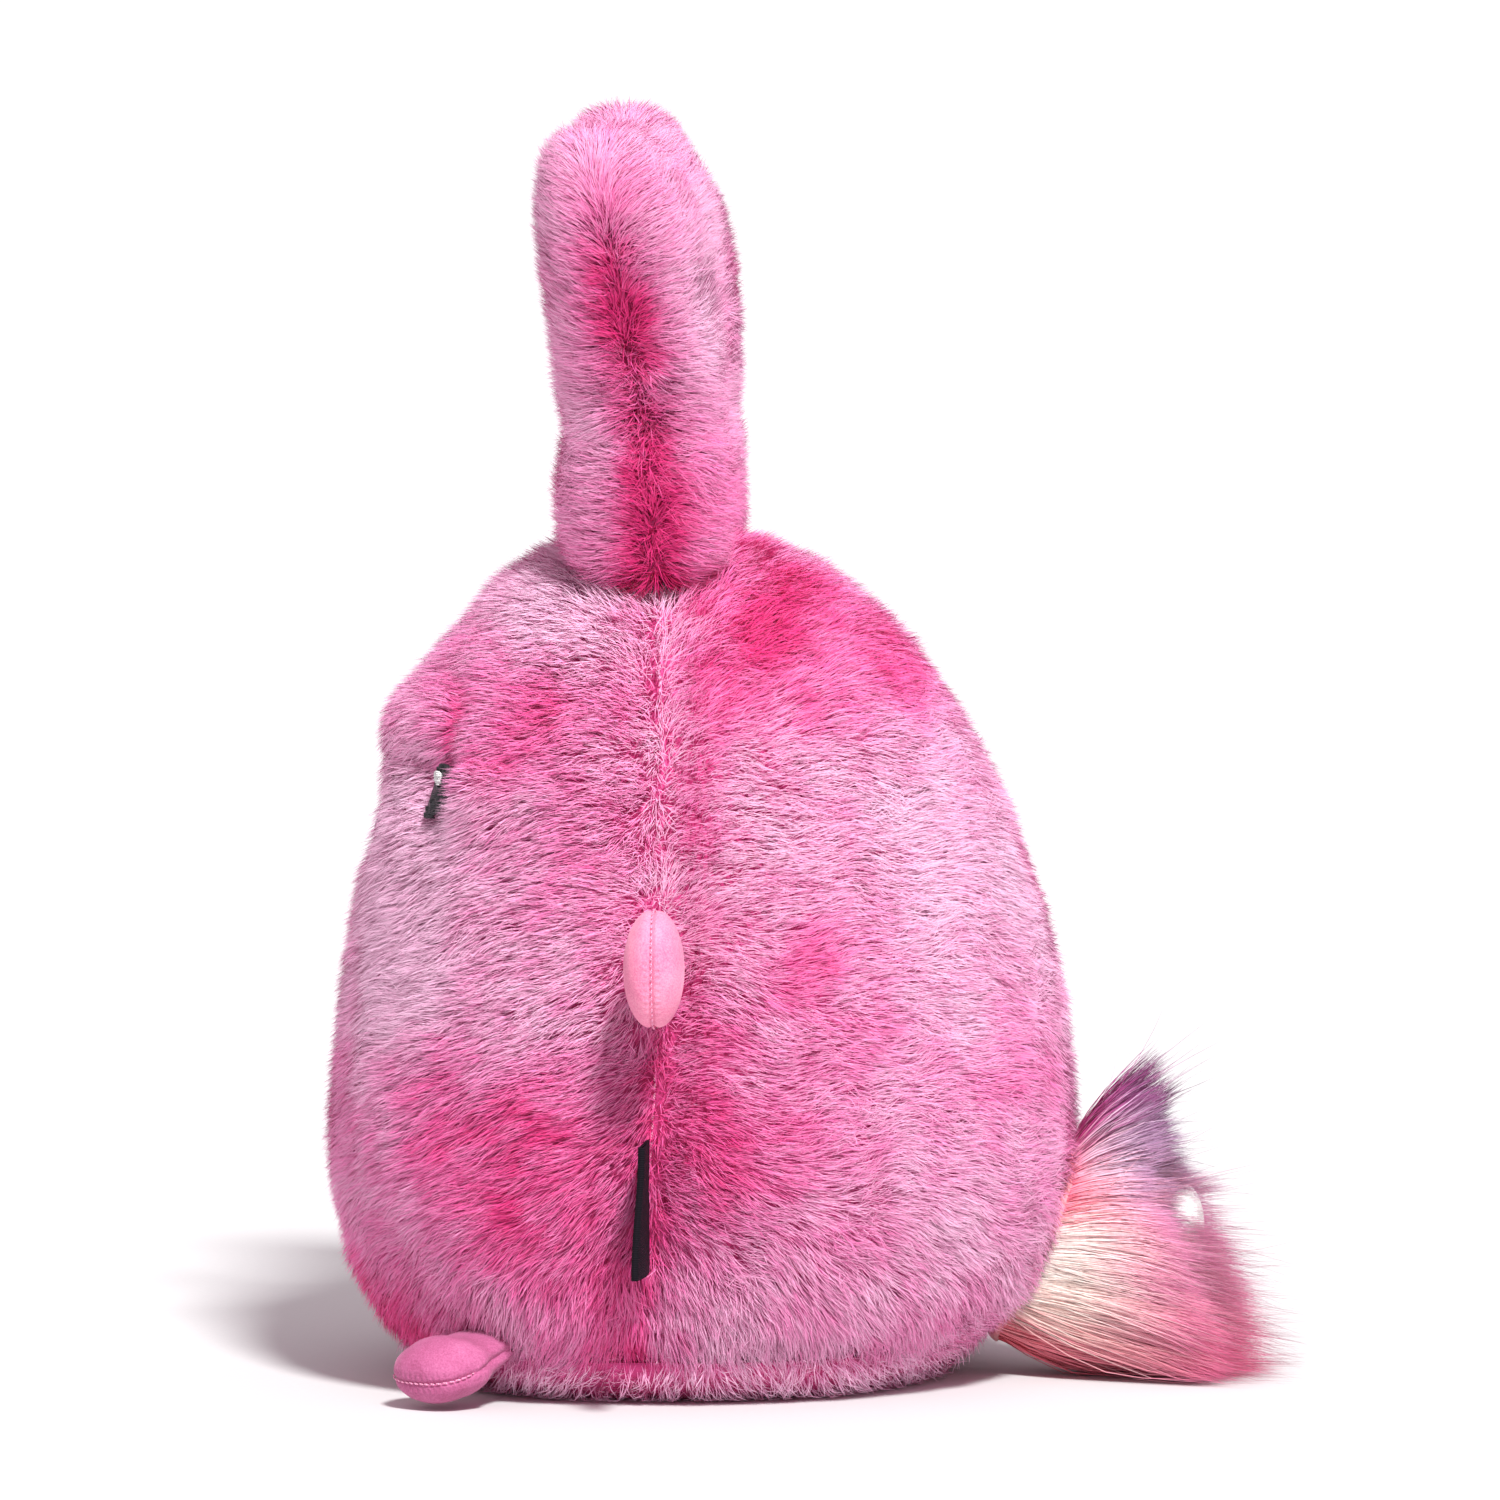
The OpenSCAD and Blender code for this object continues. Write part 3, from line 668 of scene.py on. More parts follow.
def base_skin():
    """The oval base: flat below, with a rolled edge, between the floor and the base seam."""
    obj = cushion("base_skin", ["base_panel"], 4 * MM, 0.0)
    obj.modifiers.new("Subdivision", "SUBSURF").levels = 1
    set_mesh(obj, baked_mesh(obj))
    obj.data.shade_smooth()
    co, n = vertices_of(obj.data), normals_of(obj.data)
    sideways = n * np.array([1, 1, 0])
    lift = smoothstep(0, 6 * MM, co[:, 2])
    co -= sideways * (2.5 * MM + 1.2 * MM * noise(co, 30 * MM, 5))[:, None]
    co[:, 2] = np.maximum(co[:, 2] * (1 - 0.06 * lift), FLOOR_CLEAR)
    co[:, 1] -= 9 * MM * base_tuck(co)
    set_vertices(obj.data, co)
    return obj


base = base_skin()


def finish_skin(obj, look, nodes, body_name="body"):
    obj.data.materials.append(look)
    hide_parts(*nodes)
    if body_name:
        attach(obj, body_name)


finish_skin(front_skin, BACKING, ["body_front_panel"])
finish_skin(back_skin, BACKING, ["body_back_panel"])
finish_skin(base, BACKING, ["base_panel"])


def filling(name, node, shrink, body_name):
    """The loose fibre inside a cushion, clear of its skin."""
    obj = cushion(name, [node], max(2 * MM, shrink), shrink)
    obj.data.materials.append(FIBRE)
    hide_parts(node)
    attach(obj, body_name)


filling("body_filling", "body_fill", 6 * MM, "body")
filling("tail_filling", "tail_fill", 3 * MM, "tail")
for s, _ in SIDES:
    filling(s + "_ear_filling", s + "_ear_fill", 4 * MM, s + "_ear")
    filling(s + "_arm_filling", s + "_arm_fill", 1.5 * MM, s + "_arm")
    filling(s + "_foot_filling", s + "_foot_fill", 1.5 * MM, s + "_foot")


# --- seams ---------------------------------------------------------------------------

def seam_path(node, spacing):
    """Even places along a CAD thread, with the way along it at each, the thread's plane's
    normal and its middle. The thread goes once round its middle, with or without a gap."""
    co = cad_vertices(node)
    middle = co.mean(axis=0)
    _, _, axes = np.linalg.svd(co - middle, full_matrices=False)
    angle = np.arctan2((co - middle) @ axes[1], (co - middle) @ axes[0])
    order = np.argsort(angle)
    angle, co = angle[order], co[order]
    gaps = np.diff(np.append(angle, angle[0] + 2 * math.pi))
    widest = int(gaps.argmax())
    closed = gaps[widest] < math.radians(25)
    angle = np.roll(angle, -widest - 1)
    co = np.roll(co, -widest - 1, axis=0)
    turn = np.mod(angle - angle[0], 2 * math.pi)
    groups = np.split(co, np.nonzero(np.diff(turn) > math.radians(1.2))[0] + 1)
    ring = np.array([g.mean(axis=0) for g in groups])
    if closed:
        ring = np.concatenate([ring, ring[:1]])
    along = np.concatenate([[0], np.cumsum(np.linalg.norm(np.diff(ring, axis=0), axis=1))])
    count = int(along[-1] / spacing)
    at = (np.arange(count) + 0.5) * along[-1] / count
    place, ahead = (np.stack([np.interp(where, along, ring[:, i]) for i in range(3)], axis=1)
                    for where in (at - spacing / 8, at + spacing / 8))
    return (place + ahead) / 2, unit(ahead - place), axes[2], middle


def add_tube(verts, faces, rings, sides=6):
    """Adds a closed tube; each ring is its place, its radius and two ways across."""
    first = len(verts)
    for place, radius, out, across in rings:
        for j in range(sides):
            a = 2 * math.pi * j / sides
            verts.append(place + radius * (math.cos(a) * out + math.sin(a) * across))
    for start in range(first, first + (len(rings) - 1) * sides, sides):
        for j in range(sides):
            k = (j + 1) % sides
            faces.append([start + j, start + k, start + sides + k, start + sides + j])
    faces.append([first + j for j in range(sides)][::-1])
    faces.append([first + (len(rings) - 1) * sides + j for j in range(sides)])


def stitch_row(name, node, length, radius, spacing, look, outward=0.0):
    """A row of separate stitches along a CAD thread, each a little slanted grain."""
    place, run, _, middle = seam_path(node, spacing)
    out = unit(place - middle)
    place = place + out * outward
    verts, faces = [], []
    for p, t, o in zip(place, run, out):
        b = unit(np.cross(t, o))
        t = unit(t + 0.18 * b)
        add_tube(verts, faces, [
            (p + t * (s * length / 2), radius * math.sqrt(max(0.04, 1 - s * s)), o, b)
            for s in (-1, -0.5, 0, 0.5, 1)])
    obj = new_object(name, mesh_from(name, verts, faces))
    obj.data.materials.append(look)
    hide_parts(node)
    return obj


for node in ("left_side_seam", "right_side_seam", "base_seam"):
    row = stitch_row(node + "_stitches", node, 2.8 * MM, 0.5 * MM, 3.4 * MM, SEAM_THREAD,
                     -8 * MM)
    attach(row, "body")


# --- strands -------------------------------------------------------------------------

def scatter(mesh, count, rng):
    """Even random places on a mesh, with the smooth normal at each."""
    co, n, tris = vertices_of(mesh), normals_of(mesh), triangles_of(mesh)
    a, b, c = co[tris[:, 0]], co[tris[:, 1]], co[tris[:, 2]]
    area = np.linalg.norm(np.cross(b - a, c - a), axis=1)
    pick = rng.choice(len(tris), count, p=area / area.sum())
    u, v = rng.random(count), rng.random(count)
    flip = u + v > 1
    u[flip], v[flip] = 1 - u[flip], 1 - v[flip]
    w = np.stack([1 - u - v, u, v], axis=1)[:, :, None]
    at = tris[pick]
    return (co[at] * w).sum(axis=1), unit((n[at] * w).sum(axis=1))


def strand_sides(lines, n, turn):
    """The way across each strand at its points but the tip, turned about the strand."""
    run = unit(lines[:, -1] - lines[:, 0])
    side = unit(np.cross(run, n))
    side = side * np.cos(turn) + np.cross(run, side) * np.sin(turn)
    return np.repeat(side[:, None], lines.shape[1] - 1, axis=1)


def strand_mesh(name, lines, across, widths, tints, shade):
    """Flat tapering strands. lines is (strands, points, 3); the last point is the tip.
    tints is (strands, points, 3), and shade is each strand's shading normal."""
    count, points, _ = lines.shape
    per = 2 * (points - 1) + 1
    co = np.empty((count, per, 3))
    color = np.ones((count, per, 4))
    for k in range(points - 1):
        step = across[:, k] * widths[:, k, None]
        co[:, 2 * k] = lines[:, k] - step
        co[:, 2 * k + 1] = lines[:, k] + step
        color[:, 2 * k, :3] = color[:, 2 * k + 1, :3] = tints[:, k]
    co[:, per - 1] = lines[:, -1]
    color[:, per - 1, :3] = tints[:, -1]
    loops, starts = [], []
    for k in range(points - 2):
        starts.append(len(loops))
        loops += [2 * k, 2 * k + 1, 2 * k + 3, 2 * k + 2]
    starts.append(len(loops))
    loops += [per - 3, per - 2, per - 1]
    base_index = np.arange(count)[:, None]
    all_loops = (base_index * per + np.array(loops)).astype(np.int32).reshape(-1)
    all_starts = (base_index * len(loops) + np.array(starts)).astype(np.int32).reshape(-1)
    mesh = bpy.data.meshes.new(name)
    mesh.vertices.add(count * per)
    mesh.vertices.foreach_set("co", co.astype(np.float32).reshape(-1))
    mesh.loops.add(len(all_loops))
    mesh.loops.foreach_set("vertex_index", all_loops)
    mesh.polygons.add(len(all_starts))
    mesh.polygons.foreach_set("loop_start", all_starts)
    mesh.update(calc_edges=True)
    mesh.shade_smooth()
    layer = mesh.color_attributes.new("tint", "FLOAT_COLOR", "POINT")
    layer.data.foreach_set("color", color.astype(np.float32).reshape(-1))
    own = normals_of(mesh).reshape(count, per, 3)
    soft = unit(own * 0.45 + shade[:, None, :] * 0.55)
    mesh.normals_split_custom_set_from_vertices(soft.reshape(-1, 3))
    return mesh


def pile(name, skin, count, comb, tint, seed, length=FUR_LENGTH, width=FUR_WIDTH,
         keep=None, lift=(0.38, 0.94), tuft=3.0 * MM, pull=0.32):
    """Fur on a skin. comb gives each strand's lie and tint its colours at root and tip;
    lift is its lean from the normal, in radians, at the root and at the tip."""
    rng = np.random.default_rng(seed)
    p, n = scatter(skin.data, count, rng)
    size = np.ones(count)
    if keep is not None:
        size = keep(p)
        chosen = size > 0.05
        p, n, size = p[chosen], n[chosen], size[chosen]
    count = len(p)
    lie = comb(p, n) + 0.42 * noise(p, 20 * MM, 71, 3) + 0.38 * noise(p, 7 * MM, 72, 3)
    lie += rng.normal(0, 0.20, (count, 3))
    lie = unit(lie - n * np.einsum("ij,ij->i", lie, n)[:, None])
    long = length * size * rng.uniform(0.72, 1.08, count) * (1 + 0.10 * noise(p, 9 * MM, 73))
    lean = rng.normal(0, 0.16, count) + 0.24 * noise(p, 11 * MM, 74)
    gather = tuft_pull(p, tuft, 75)
    gather -= n * np.einsum("ij,ij->i", gather, n)[:, None]
    lines = [p - n * 0.6 * MM]
    for k, share in ((0, 0.55), (1, 0.45)):
        a = (lift[k] + lean)[:, None]
        step = n * np.cos(a) + lie * np.sin(a)
        lines.append(lines[-1] + step * (long * share)[:, None])
    lines[1] = lines[1] + gather * (0.35 * pull)
    lines[2] = lines[2] + gather * pull
    lines = np.stack(lines, axis=1)
    lines[:, :, 2] = np.maximum(lines[:, :, 2], FLOOR_CLEAR * (1 + np.arange(3)))
    turn = rng.uniform(-1.1, 1.1, count)[:, None]
    across = strand_sides(lines, n, turn)
    wide = width * rng.uniform(0.75, 1.25, count)
    widths = np.stack([wide, wide * 0.85], axis=1)
    low, high = tint(p, rng)
    tints = np.stack([low, low * 0.35 + high * 0.65, high], axis=1)
    obj = new_object(name, strand_mesh(name, lines, across, widths, tints, n))
    obj.data.materials.append(FUR)
    return obj


# --- the dye, with painted shade and light -------------------------------------------

PINK_SCALE = np.array([linear(255, 204, 234), linear(255, 176, 220), linear(255, 140, 204),
                linear(255, 92, 176), linear(240, 34, 132)])
# Patches on the left side as (y, z, reach, strength) in millimetres: more than 0 is hotter pink and
# less than 0 paler.
# Most are the tie-dye; the two hot ones low at the front, at (-116, 36) and (-90, 22), are painted
# shade where the body curves under
LEFT_PATCHES = (
    (34, 276, 26, 0.85), (20, 252, 22, 0.55), (70, 254, 20, 0.6), (52, 236, 22, 0.3),
    (-50, 238, 20, 0.5), (-28, 195, 18, 0.45), (-37, 277, 20, -0.5), (-45, 266, 20, -0.6),
    (-40, 93, 20, 0.4), (0, 112, 26, 0.5),
    (-104, 176, 34, -0.5), (-96, 148, 26, -0.35), (-60, 88, 34, 0.5), (-22, 70, 22, 0.5),
    (-116, 36, 24, 0.75), (-90, 22, 22, 0.6), (-60, 62, 14, 0.3), (-20, 20, 22, 0.6),
    (100, 176, 34, -0.45), (104, 62, 30, -0.35), (60, 60, 30, -0.15), (118, 110, 16, 0.2),
    (34, 156, 14, 0.35), (48, 128, 12, 0.3), (-122, 96, 26, 0.35), (-52, 142, 20, -0.3),
    (62, 205, 34, -0.3), (20, 215, 22, -0.2), (20, 40, 26, -0.1), (-90, 205, 24, -0.35),
    (14, 92, 20, 0.45), (-75, 110, 20, 0.3), (-30, 45, 20, 0.35),
)


def dye_and_shade_depth(p):
    """How deep the colour is at a place of the body, from 0, pale, to 1: the tie-dye, with painted
    shade in the face's folds, in the back dimple and low along the side seam.
    """
    depth = 0.36 + 0.16 * noise(p, 62 * MM, 31) + 0.16 * noise(p, 22 * MM, 32)
    left = smoothstep(-20 * MM, 30 * MM, p[:, 0])
    patches = np.zeros(len(p))
    for y, z, reach, strength in LEFT_PATCHES:
        d = (p[:, 1] - y * MM) ** 2 + (p[:, 2] - z * MM) ** 2
        patches += strength * np.exp(-d / (reach * MM) ** 2)
    other = 0.40 * noise(p, 48 * MM, 33)
    mottle = 0.16 * noise(p, 9 * MM, 34) + 0.10 * noise(p, 4 * MM, 35)
    high = smoothstep(140 * MM, 180 * MM, p[:, 2])
    low = smoothstep(150 * MM, 120 * MM, p[:, 2])
    # Along the side seam the pile is paler up high, and darker low down as painted shade in the
    # seam's groove
    seam = np.exp(-((p[:, 1] - seam_y(p[:, 2])) / (3.5 * MM)) ** 2) * (0.25 * high - 0.22 * low)
    # Painted shade in the back dimple; face_crease below adds painted shade in the folds of the
    # face
    pucker = np.exp(-(np.linalg.norm(p - BACK_DIMPLE, axis=1) / (6 * MM)) ** 2)
    return (depth + 0.62 * left * patches + (1 - left) * other + mottle - seam
            + 0.7 * pucker + 0.6 * face_crease(p))


def dyed_and_shaded(depth, rng, root_dark=0.79, tip_pale=0.28):
    """Root and tip colours of strands at a colour depth, each strand a little its own. Darker, more
    magenta roots are partly deeper dye and partly painted shade inside the pile; paler tips are
    painted highlight.
    """
    count = len(depth)
    d = np.clip(depth + rng.normal(0, 0.09, count), 0, 0.999) * (len(PINK_SCALE) - 1)
    low = d.astype(int)
    f = (d - low)[:, None]
    color = PINK_SCALE[low] * (1 - f) + PINK_SCALE[low + 1] * f
    spread = rng.random(count)[:, None]
    # Painted shade: the roots are darker and, below, more magenta, partly deeper dye at the root
    # and partly the shade inside the pile
    root = color * np.where(spread < 0.5, root_dark, 0.9 * root_dark)
    root = root * np.array([1.0, 0.50, 0.78])
    # Painted highlight: the tips are paler, towards near white on some strands
    pale = tip_pale * rng.uniform(0.2, 1.6, count)[:, None] * (1.15 - np.clip(depth, 0, 1))[:, None]
    tip = color * (1 - pale) + np.array([1.0, 0.80, 0.91]) * pale
    dark = np.where(spread > 0.93, 0.72, 1.0)
    return root, np.clip(tip * dark, 0, 1)


def body_tint(p, rng):
    return dyed_and_shaded(dye_and_shade_depth(p), rng)


# --- body fur ------------------------------------------------------------------------

def body_comb(p, n):
    """Away from the side seam and down, up round the ears, round the arm and the nose."""
    away = np.clip((p[:, 1] - seam_y(p[:, 2])) / (9 * MM), -1, 1)[:, None]
    slope = np.where(away[:, 0] < 0, -0.55, -0.12)
    lie = BACK * away + UP * slope[:, None]
    low = smoothstep(80 * MM, 25 * MM, p[:, 2])[:, None]
    lie = lie * (1 - 0.6 * low) - UP * 0.9 * low
    for side, sign in SIDES:
        d = np.array(JOINTS[side + "_ear_bend"]["pos_m"]) - p
        near = np.exp(-(np.linalg.norm(d, axis=1) / (50 * MM)) ** 6)[:, None]
        lie = lie * (1 - near) + (unit(d) + 0.5 * UP) * near
        d = p - np.array(JOINTS[side + "_arm_swing"]["pos_m"])
        near = np.exp(-(np.linalg.norm(d, axis=1) / (34 * MM)) ** 2)[:, None]
        lie = lie * (1 - 0.5 * near) + unit(d) * 0.6 * near
        d = EYES[side] - p
        beside = smoothstep(0, 8 * MM, -d[:, 0] * sign)[:, None]
        near = np.exp(-(np.linalg.norm(d, axis=1) / (17 * MM)) ** 4)[:, None]
        lie = lie * (1 - near) + (unit(d) * beside - BACK * beside - unit(d) * (1 - beside)) * near
    d = p - NOSE
    near = np.exp(-(np.linalg.norm(d, axis=1) / (13 * MM)) ** 2)[:, None]
    return lie * (1 - near) + unit(d) * 1.4 * near


MOUTH = cad_vertices("mouth_stitches")[::3]


def body_keep(p):
    """Share of the full pile length: short in folds, none under the embroidery."""
    size = np.ones(len(p))
    gap = np.abs(p[:, 1] - seam_y(p[:, 2]))
    size *= 0.90 + 0.10 * smoothstep(0, 7 * MM, gap)
    for centre in (*EYES.values(), NOSE):
        d = (p - centre) * np.array([1, 0.9, 0.85])
        outer = d[:, 0] * np.sign(centre[0]) > 0
        d[:, 0] *= np.where(outer, 1.9, 1.1)
        size *= smoothstep(5 * MM, 9 * MM, np.linalg.norm(d, axis=1))
    size *= 1 - 0.4 * face_crease(p)
    pucker = np.linalg.norm(p - BACK_DIMPLE, axis=1)
    size *= 0.45 + 0.55 * smoothstep(2 * MM, 8 * MM, pucker)
    near = (p[:, 1] < 0) & (np.abs(p[:, 0]) < 30 * MM) & (np.abs(p[:, 2] - NOSE[2]) < 40 * MM)
    if near.any():
        _, far = nearest_point(p[near], MOUTH)
        size[near] *= 0.25 + 0.75 * smoothstep(5 * MM, 12 * MM, far)
    return size


def quarter(name, skin, sign):
    """The faces of a body skin on one side of the middle."""
    return panel_of(name, skin, face_centres(skin.data)[:, 0] * sign > 0)


for label, skin, seed in (("front", front_skin, 100), ("back", back_skin, 200)):
    for side, sign in SIDES:
        part = quarter("quarter", skin, sign)
        fur = pile(f"body_{label}_fur_{side}", part, FUR_COUNT, body_comb, body_tint,
                   seed + int(sign), keep=body_keep)
        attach(fur, "body")
        bpy.data.objects.remove(part)


def base_comb(p, n):
    return n * np.array([1, 1, 0]) * 0.4 - UP * 0.8 + BACK * 0.3 * np.sign(p[:, 1])[:, None]


def base_keep(p):
    return np.where(p[:, 2] < 1.0 * MM, 0.0, 1.0)


# Painted light: the base's pile is paler and its roots brighter than the body's, lifting the shade
# under the body's overhang into a painted highlight along the bottom
def base_painted_light_tint(p, rng):
    return dyed_and_shaded(dye_and_shade_depth(p) - 0.6, rng, 1.15, 0.45)


fur = pile("base_fur", base, BASE_COUNT, base_comb, base_painted_light_tint, 300, length=9 * MM,
           keep=base_keep, lift=(0.6, 1.15))
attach(fur, "body")


# --- ears ----------------------------------------------------------------------------

def ear_frame(side):
    """Pivot of the ear's bend, and the way up the ear."""
    joint = JOINTS[side + "_ear_bend"]
    return np.array(joint["pos_m"]), unit(np.cross(np.array(joint["axis"]), BACK))


def ear_height(p, side):
    pivot, up = ear_frame(side)
    return (p - pivot) @ up


def shape_ear(side):
    """Widens the root and reaches it down to the head, and narrows the tip."""
    obj = ears[side]
    co, n = vertices_of(obj.data), normals_of(obj.data)
    co += n * (2.6 * MM + 1.2 * MM * noise(co, 30 * MM, 41))[:, None]
    co = sink_along(co, n, cad_vertices(side + "_ear_edge_seam"), 3.6 * MM, 8 * MM, 4 * MM)
    pivot, up = ear_frame(side)
    h = ear_height(co, side)
    low = smoothstep(16 * MM, -10 * MM, h)
    axis = pivot + h[:, None] * up
    round_off = np.sqrt(np.maximum(0.12, 1 - (np.minimum(h, 0) / (25 * MM)) ** 2))
    co = axis + (co - axis) * (1 + (1.24 / round_off - 1) * low)[:, None]
    outward = np.clip((np.abs(co[:, 0]) - abs(pivot[0])) / (18 * MM), 0, 1)
    co -= up * (smoothstep(6 * MM, -16 * MM, h) * (15 + 12 * outward) * MM)[:, None]
    tip = smoothstep(70 * MM, 125 * MM, h)
    middle = ear_seam_y(co)
    co[:, 1] = middle + (co[:, 1] - middle) * (1 - 0.20 * tip) - 1.5 * MM * tip
    set_vertices(obj.data, co)


def cross_joint(obj):
    """Bakes the piece's placement into its mesh."""
    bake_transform(obj)


def ear_tint(p, rng):
    h = p[:, 2] / CAD_BOX[1][2]
    depth = 0.26 + 0.22 * noise(p, 30 * MM, 51) + 0.12 * noise(p, 11 * MM, 52)
    # The pile is darker along the edge seam's parting, as painted shade in its groove, and darker
    # towards the ear's root
    mid = np.minimum(np.abs(p[:, 1] - ear_seam_y(p)), 30 * MM)
    part = np.exp(-(mid / (8 * MM)) ** 2) * smoothstep(0.97, 0.84, h)
    depth += part * (0.70 + 0.35 * noise(p, 7 * MM, 53)) + 0.18 * smoothstep(0.80, 0.66, h)
    return dyed_and_shaded(depth, rng)


def ear_seam_y(p):
    """Y of the ears' edge seams at each place's height, leaning forward at the tip. It takes
    the height up the left ear for both, which reads a little low on the right ear."""
    t = np.clip(ear_height(p, "left") / (125 * MM), 0, 1)
    return JOINTS["left_ear_bend"]["pos_m"][1] + 3 * MM - 22 * MM * t ** 1.4


def ear_comb(p, n):
    """Away from the edge seam, and up the ear."""
    away = np.clip((p[:, 1] - ear_seam_y(p)) / (7 * MM), -1, 1)[:, None]
    h = p[:, 2] / CAD_BOX[1][2]
    rise = (0.10 + 0.75 * smoothstep(0.74, 1.0, h))[:, None]
    return BACK * away * 0.9 + UP * rise


for side, sign in SIDES:
    shape_ear(side)
    obj = ears[side]
    centres = face_centres(obj.data)
    in_front = centres[:, 1] < ear_seam_y(centres)
    stitches = stitch_row(side + "_ear_stitches", side + "_ear_edge_seam", 2.6 * MM,
                          0.5 * MM, 3.2 * MM, SEAM_THREAD, -8 * MM)
    cross_joint(stitches)
    for label, chosen, seed in (("front", in_front, 400), ("back", ~in_front, 500)):
        skin = panel_of(f"{side}_ear_{label}_skin", obj, chosen)
        finish_skin(skin, BACKING, [f"{side}_ear_{label}_panel"], None)
        fur = pile(f"{side}_ear_{label}_fur", skin, EAR_COUNT, ear_comb, ear_tint,
                   seed + int(sign), length=12.5 * MM)
        cross_joint(skin)
        cross_joint(fur)
    bpy.data.objects.remove(obj)


# --- arms and feet -------------------------------------------------------------------

def limb(side, part, obj, joint, names, look):
    """A velour pad of two panels that meet in a pinched seam with needle holes."""
    seam = f"{side}_{part}_edge_seam"
    pivot = np.array(JOINTS[joint]["pos_m"])
    place, _, flat, middle = seam_path(seam, 2.4 * MM)
    reach = unit(middle - pivot)
    obj.modifiers.new("Subdivision", "SUBSURF").levels = 1
    set_mesh(obj, baked_mesh(obj))
    co, n = vertices_of(obj.data), normals_of(obj.data)
    swell, widen = (1.4 * MM, 0.6) if part == "foot" else (1.6 * MM, 0.45)
    co += n * (swell + 0.35 * MM * noise(co, 12 * MM, 61))[:, None]
    off = (co - middle) @ flat
    groove = np.exp(-(off / (1.1 * MM)) ** 2)
    co -= n * (1.3 * MM * groove)[:, None]
    _, far = nearest_point(co, np.concatenate([place + flat * 2.2 * MM,
                                               place - flat * 2.2 * MM]))
    co -= n * (0.55 * MM * np.exp(-(far / (0.9 * MM)) ** 2))[:, None]
    h = (co - pivot) @ reach
    root = smoothstep(20 * MM, -4 * MM, h)
    axis = pivot + h[:, None] * reach
    co = axis + (co - axis) * (1 + widen * root)[:, None]
    co -= reach * (smoothstep(6 * MM, -5 * MM, h) * 9 * MM)[:, None]
    if part == "foot":
        co += (0.12 * off)[:, None] * flat
        co[:, 2] = np.maximum(co[:, 2], FLOOR_CLEAR)
    set_vertices(obj.data, co)
    upper = (face_centres(obj.data) - middle) @ flat
    sign = 1 if flat[1 if part == "arm" else 2] > 0 else -1
    pieces = []
    for label, chosen in ((names[0], upper * sign < 0), (names[1], upper * sign >= 0)):
        piece = panel_of(f"{side}_{part}_{label}_velour", obj, chosen)
        finish_skin(piece, look, [f"{side}_{part}_{label}_panel"], None)
        pieces.append(piece)
    pieces.append(stitch_row(f"{side}_{part}_stitches", seam, 2.0 * MM, 0.35 * MM,
                             2.4 * MM, PAD_THREAD, -0.5 * MM))
    for piece in pieces:
        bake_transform(piece)
    bpy.data.objects.remove(obj)


for side, _ in SIDES:
    limb(side, "arm", arms[side], side + "_arm_swing", ("front", "back"), ARM_VELOUR)
    limb(side, "foot", feet[side], side + "_foot_lift", ("sole", "top"), SHADED_FOOT_VELOUR)


# --- embroidery ----------------------------------------------------------------------

def satin(name, node, look, pitch, radius):
    """Satin stitch over a CAD patch: threads side by side, each a low arch."""
    low, high = (np.array(v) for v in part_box(node))
    co = cad_vertices(node)
    centre, half = (low + high) / 2, (high - low) / 2
    rows = int(2 * half[2] / pitch)
    verts, faces = [], []
    steps = 9
    for i in range(rows):
        z = low[2] + (i + 0.5) * 2 * half[2] / rows
        v = (z - centre[2]) / half[2]
        reach = half[0] * math.sqrt(max(0, 1 - v * v))
        line = []
        for k in range(steps):
            u = -1 + 2 * k / (steps - 1)
            x = centre[0] + reach * u
            near = np.argsort((co[:, 0] - x) ** 2 + (co[:, 2] - z) ** 2)[:6]
            y = co[near, 1].min()
            arch = 0.35 * MM * (1 - u ** 4) - 0.5 * MM * abs(u) ** 6
            line.append((x, y - arch, z))
        line = np.array(line)
        rings = []
        for k, p in enumerate(line):
            t = unit(line[min(k + 1, steps - 1)] - line[max(k - 1, 0)])
            o = unit(np.cross(t, UP))
            rings.append((p, radius, o, np.cross(t, o)))
        add_tube(verts, faces, rings)
    obj = new_object(name, mesh_from(name, verts, faces))
    obj.data.materials.append(look)
    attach(obj, "body")
    return obj


for side, _ in SIDES:
    satin(side + "_eye_satin", side + "_eye", BLACK_THREAD,
          0.62 * MM, 0.36 * MM)
    satin(side + "_eye_highlight_satin", side + "_eye_highlight", WHITE_THREAD,
          0.6 * MM, 0.34 * MM)
    rethread(side + "_eye", BLACK_THREAD)
    rethread(side + "_eye_highlight", WHITE_THREAD)
satin("nose_satin", "nose", NOSE_THREAD, 0.62 * MM, 0.36 * MM)
rethread("nose", NOSE_THREAD)


# --- label ---------------------------------------------------------------------------

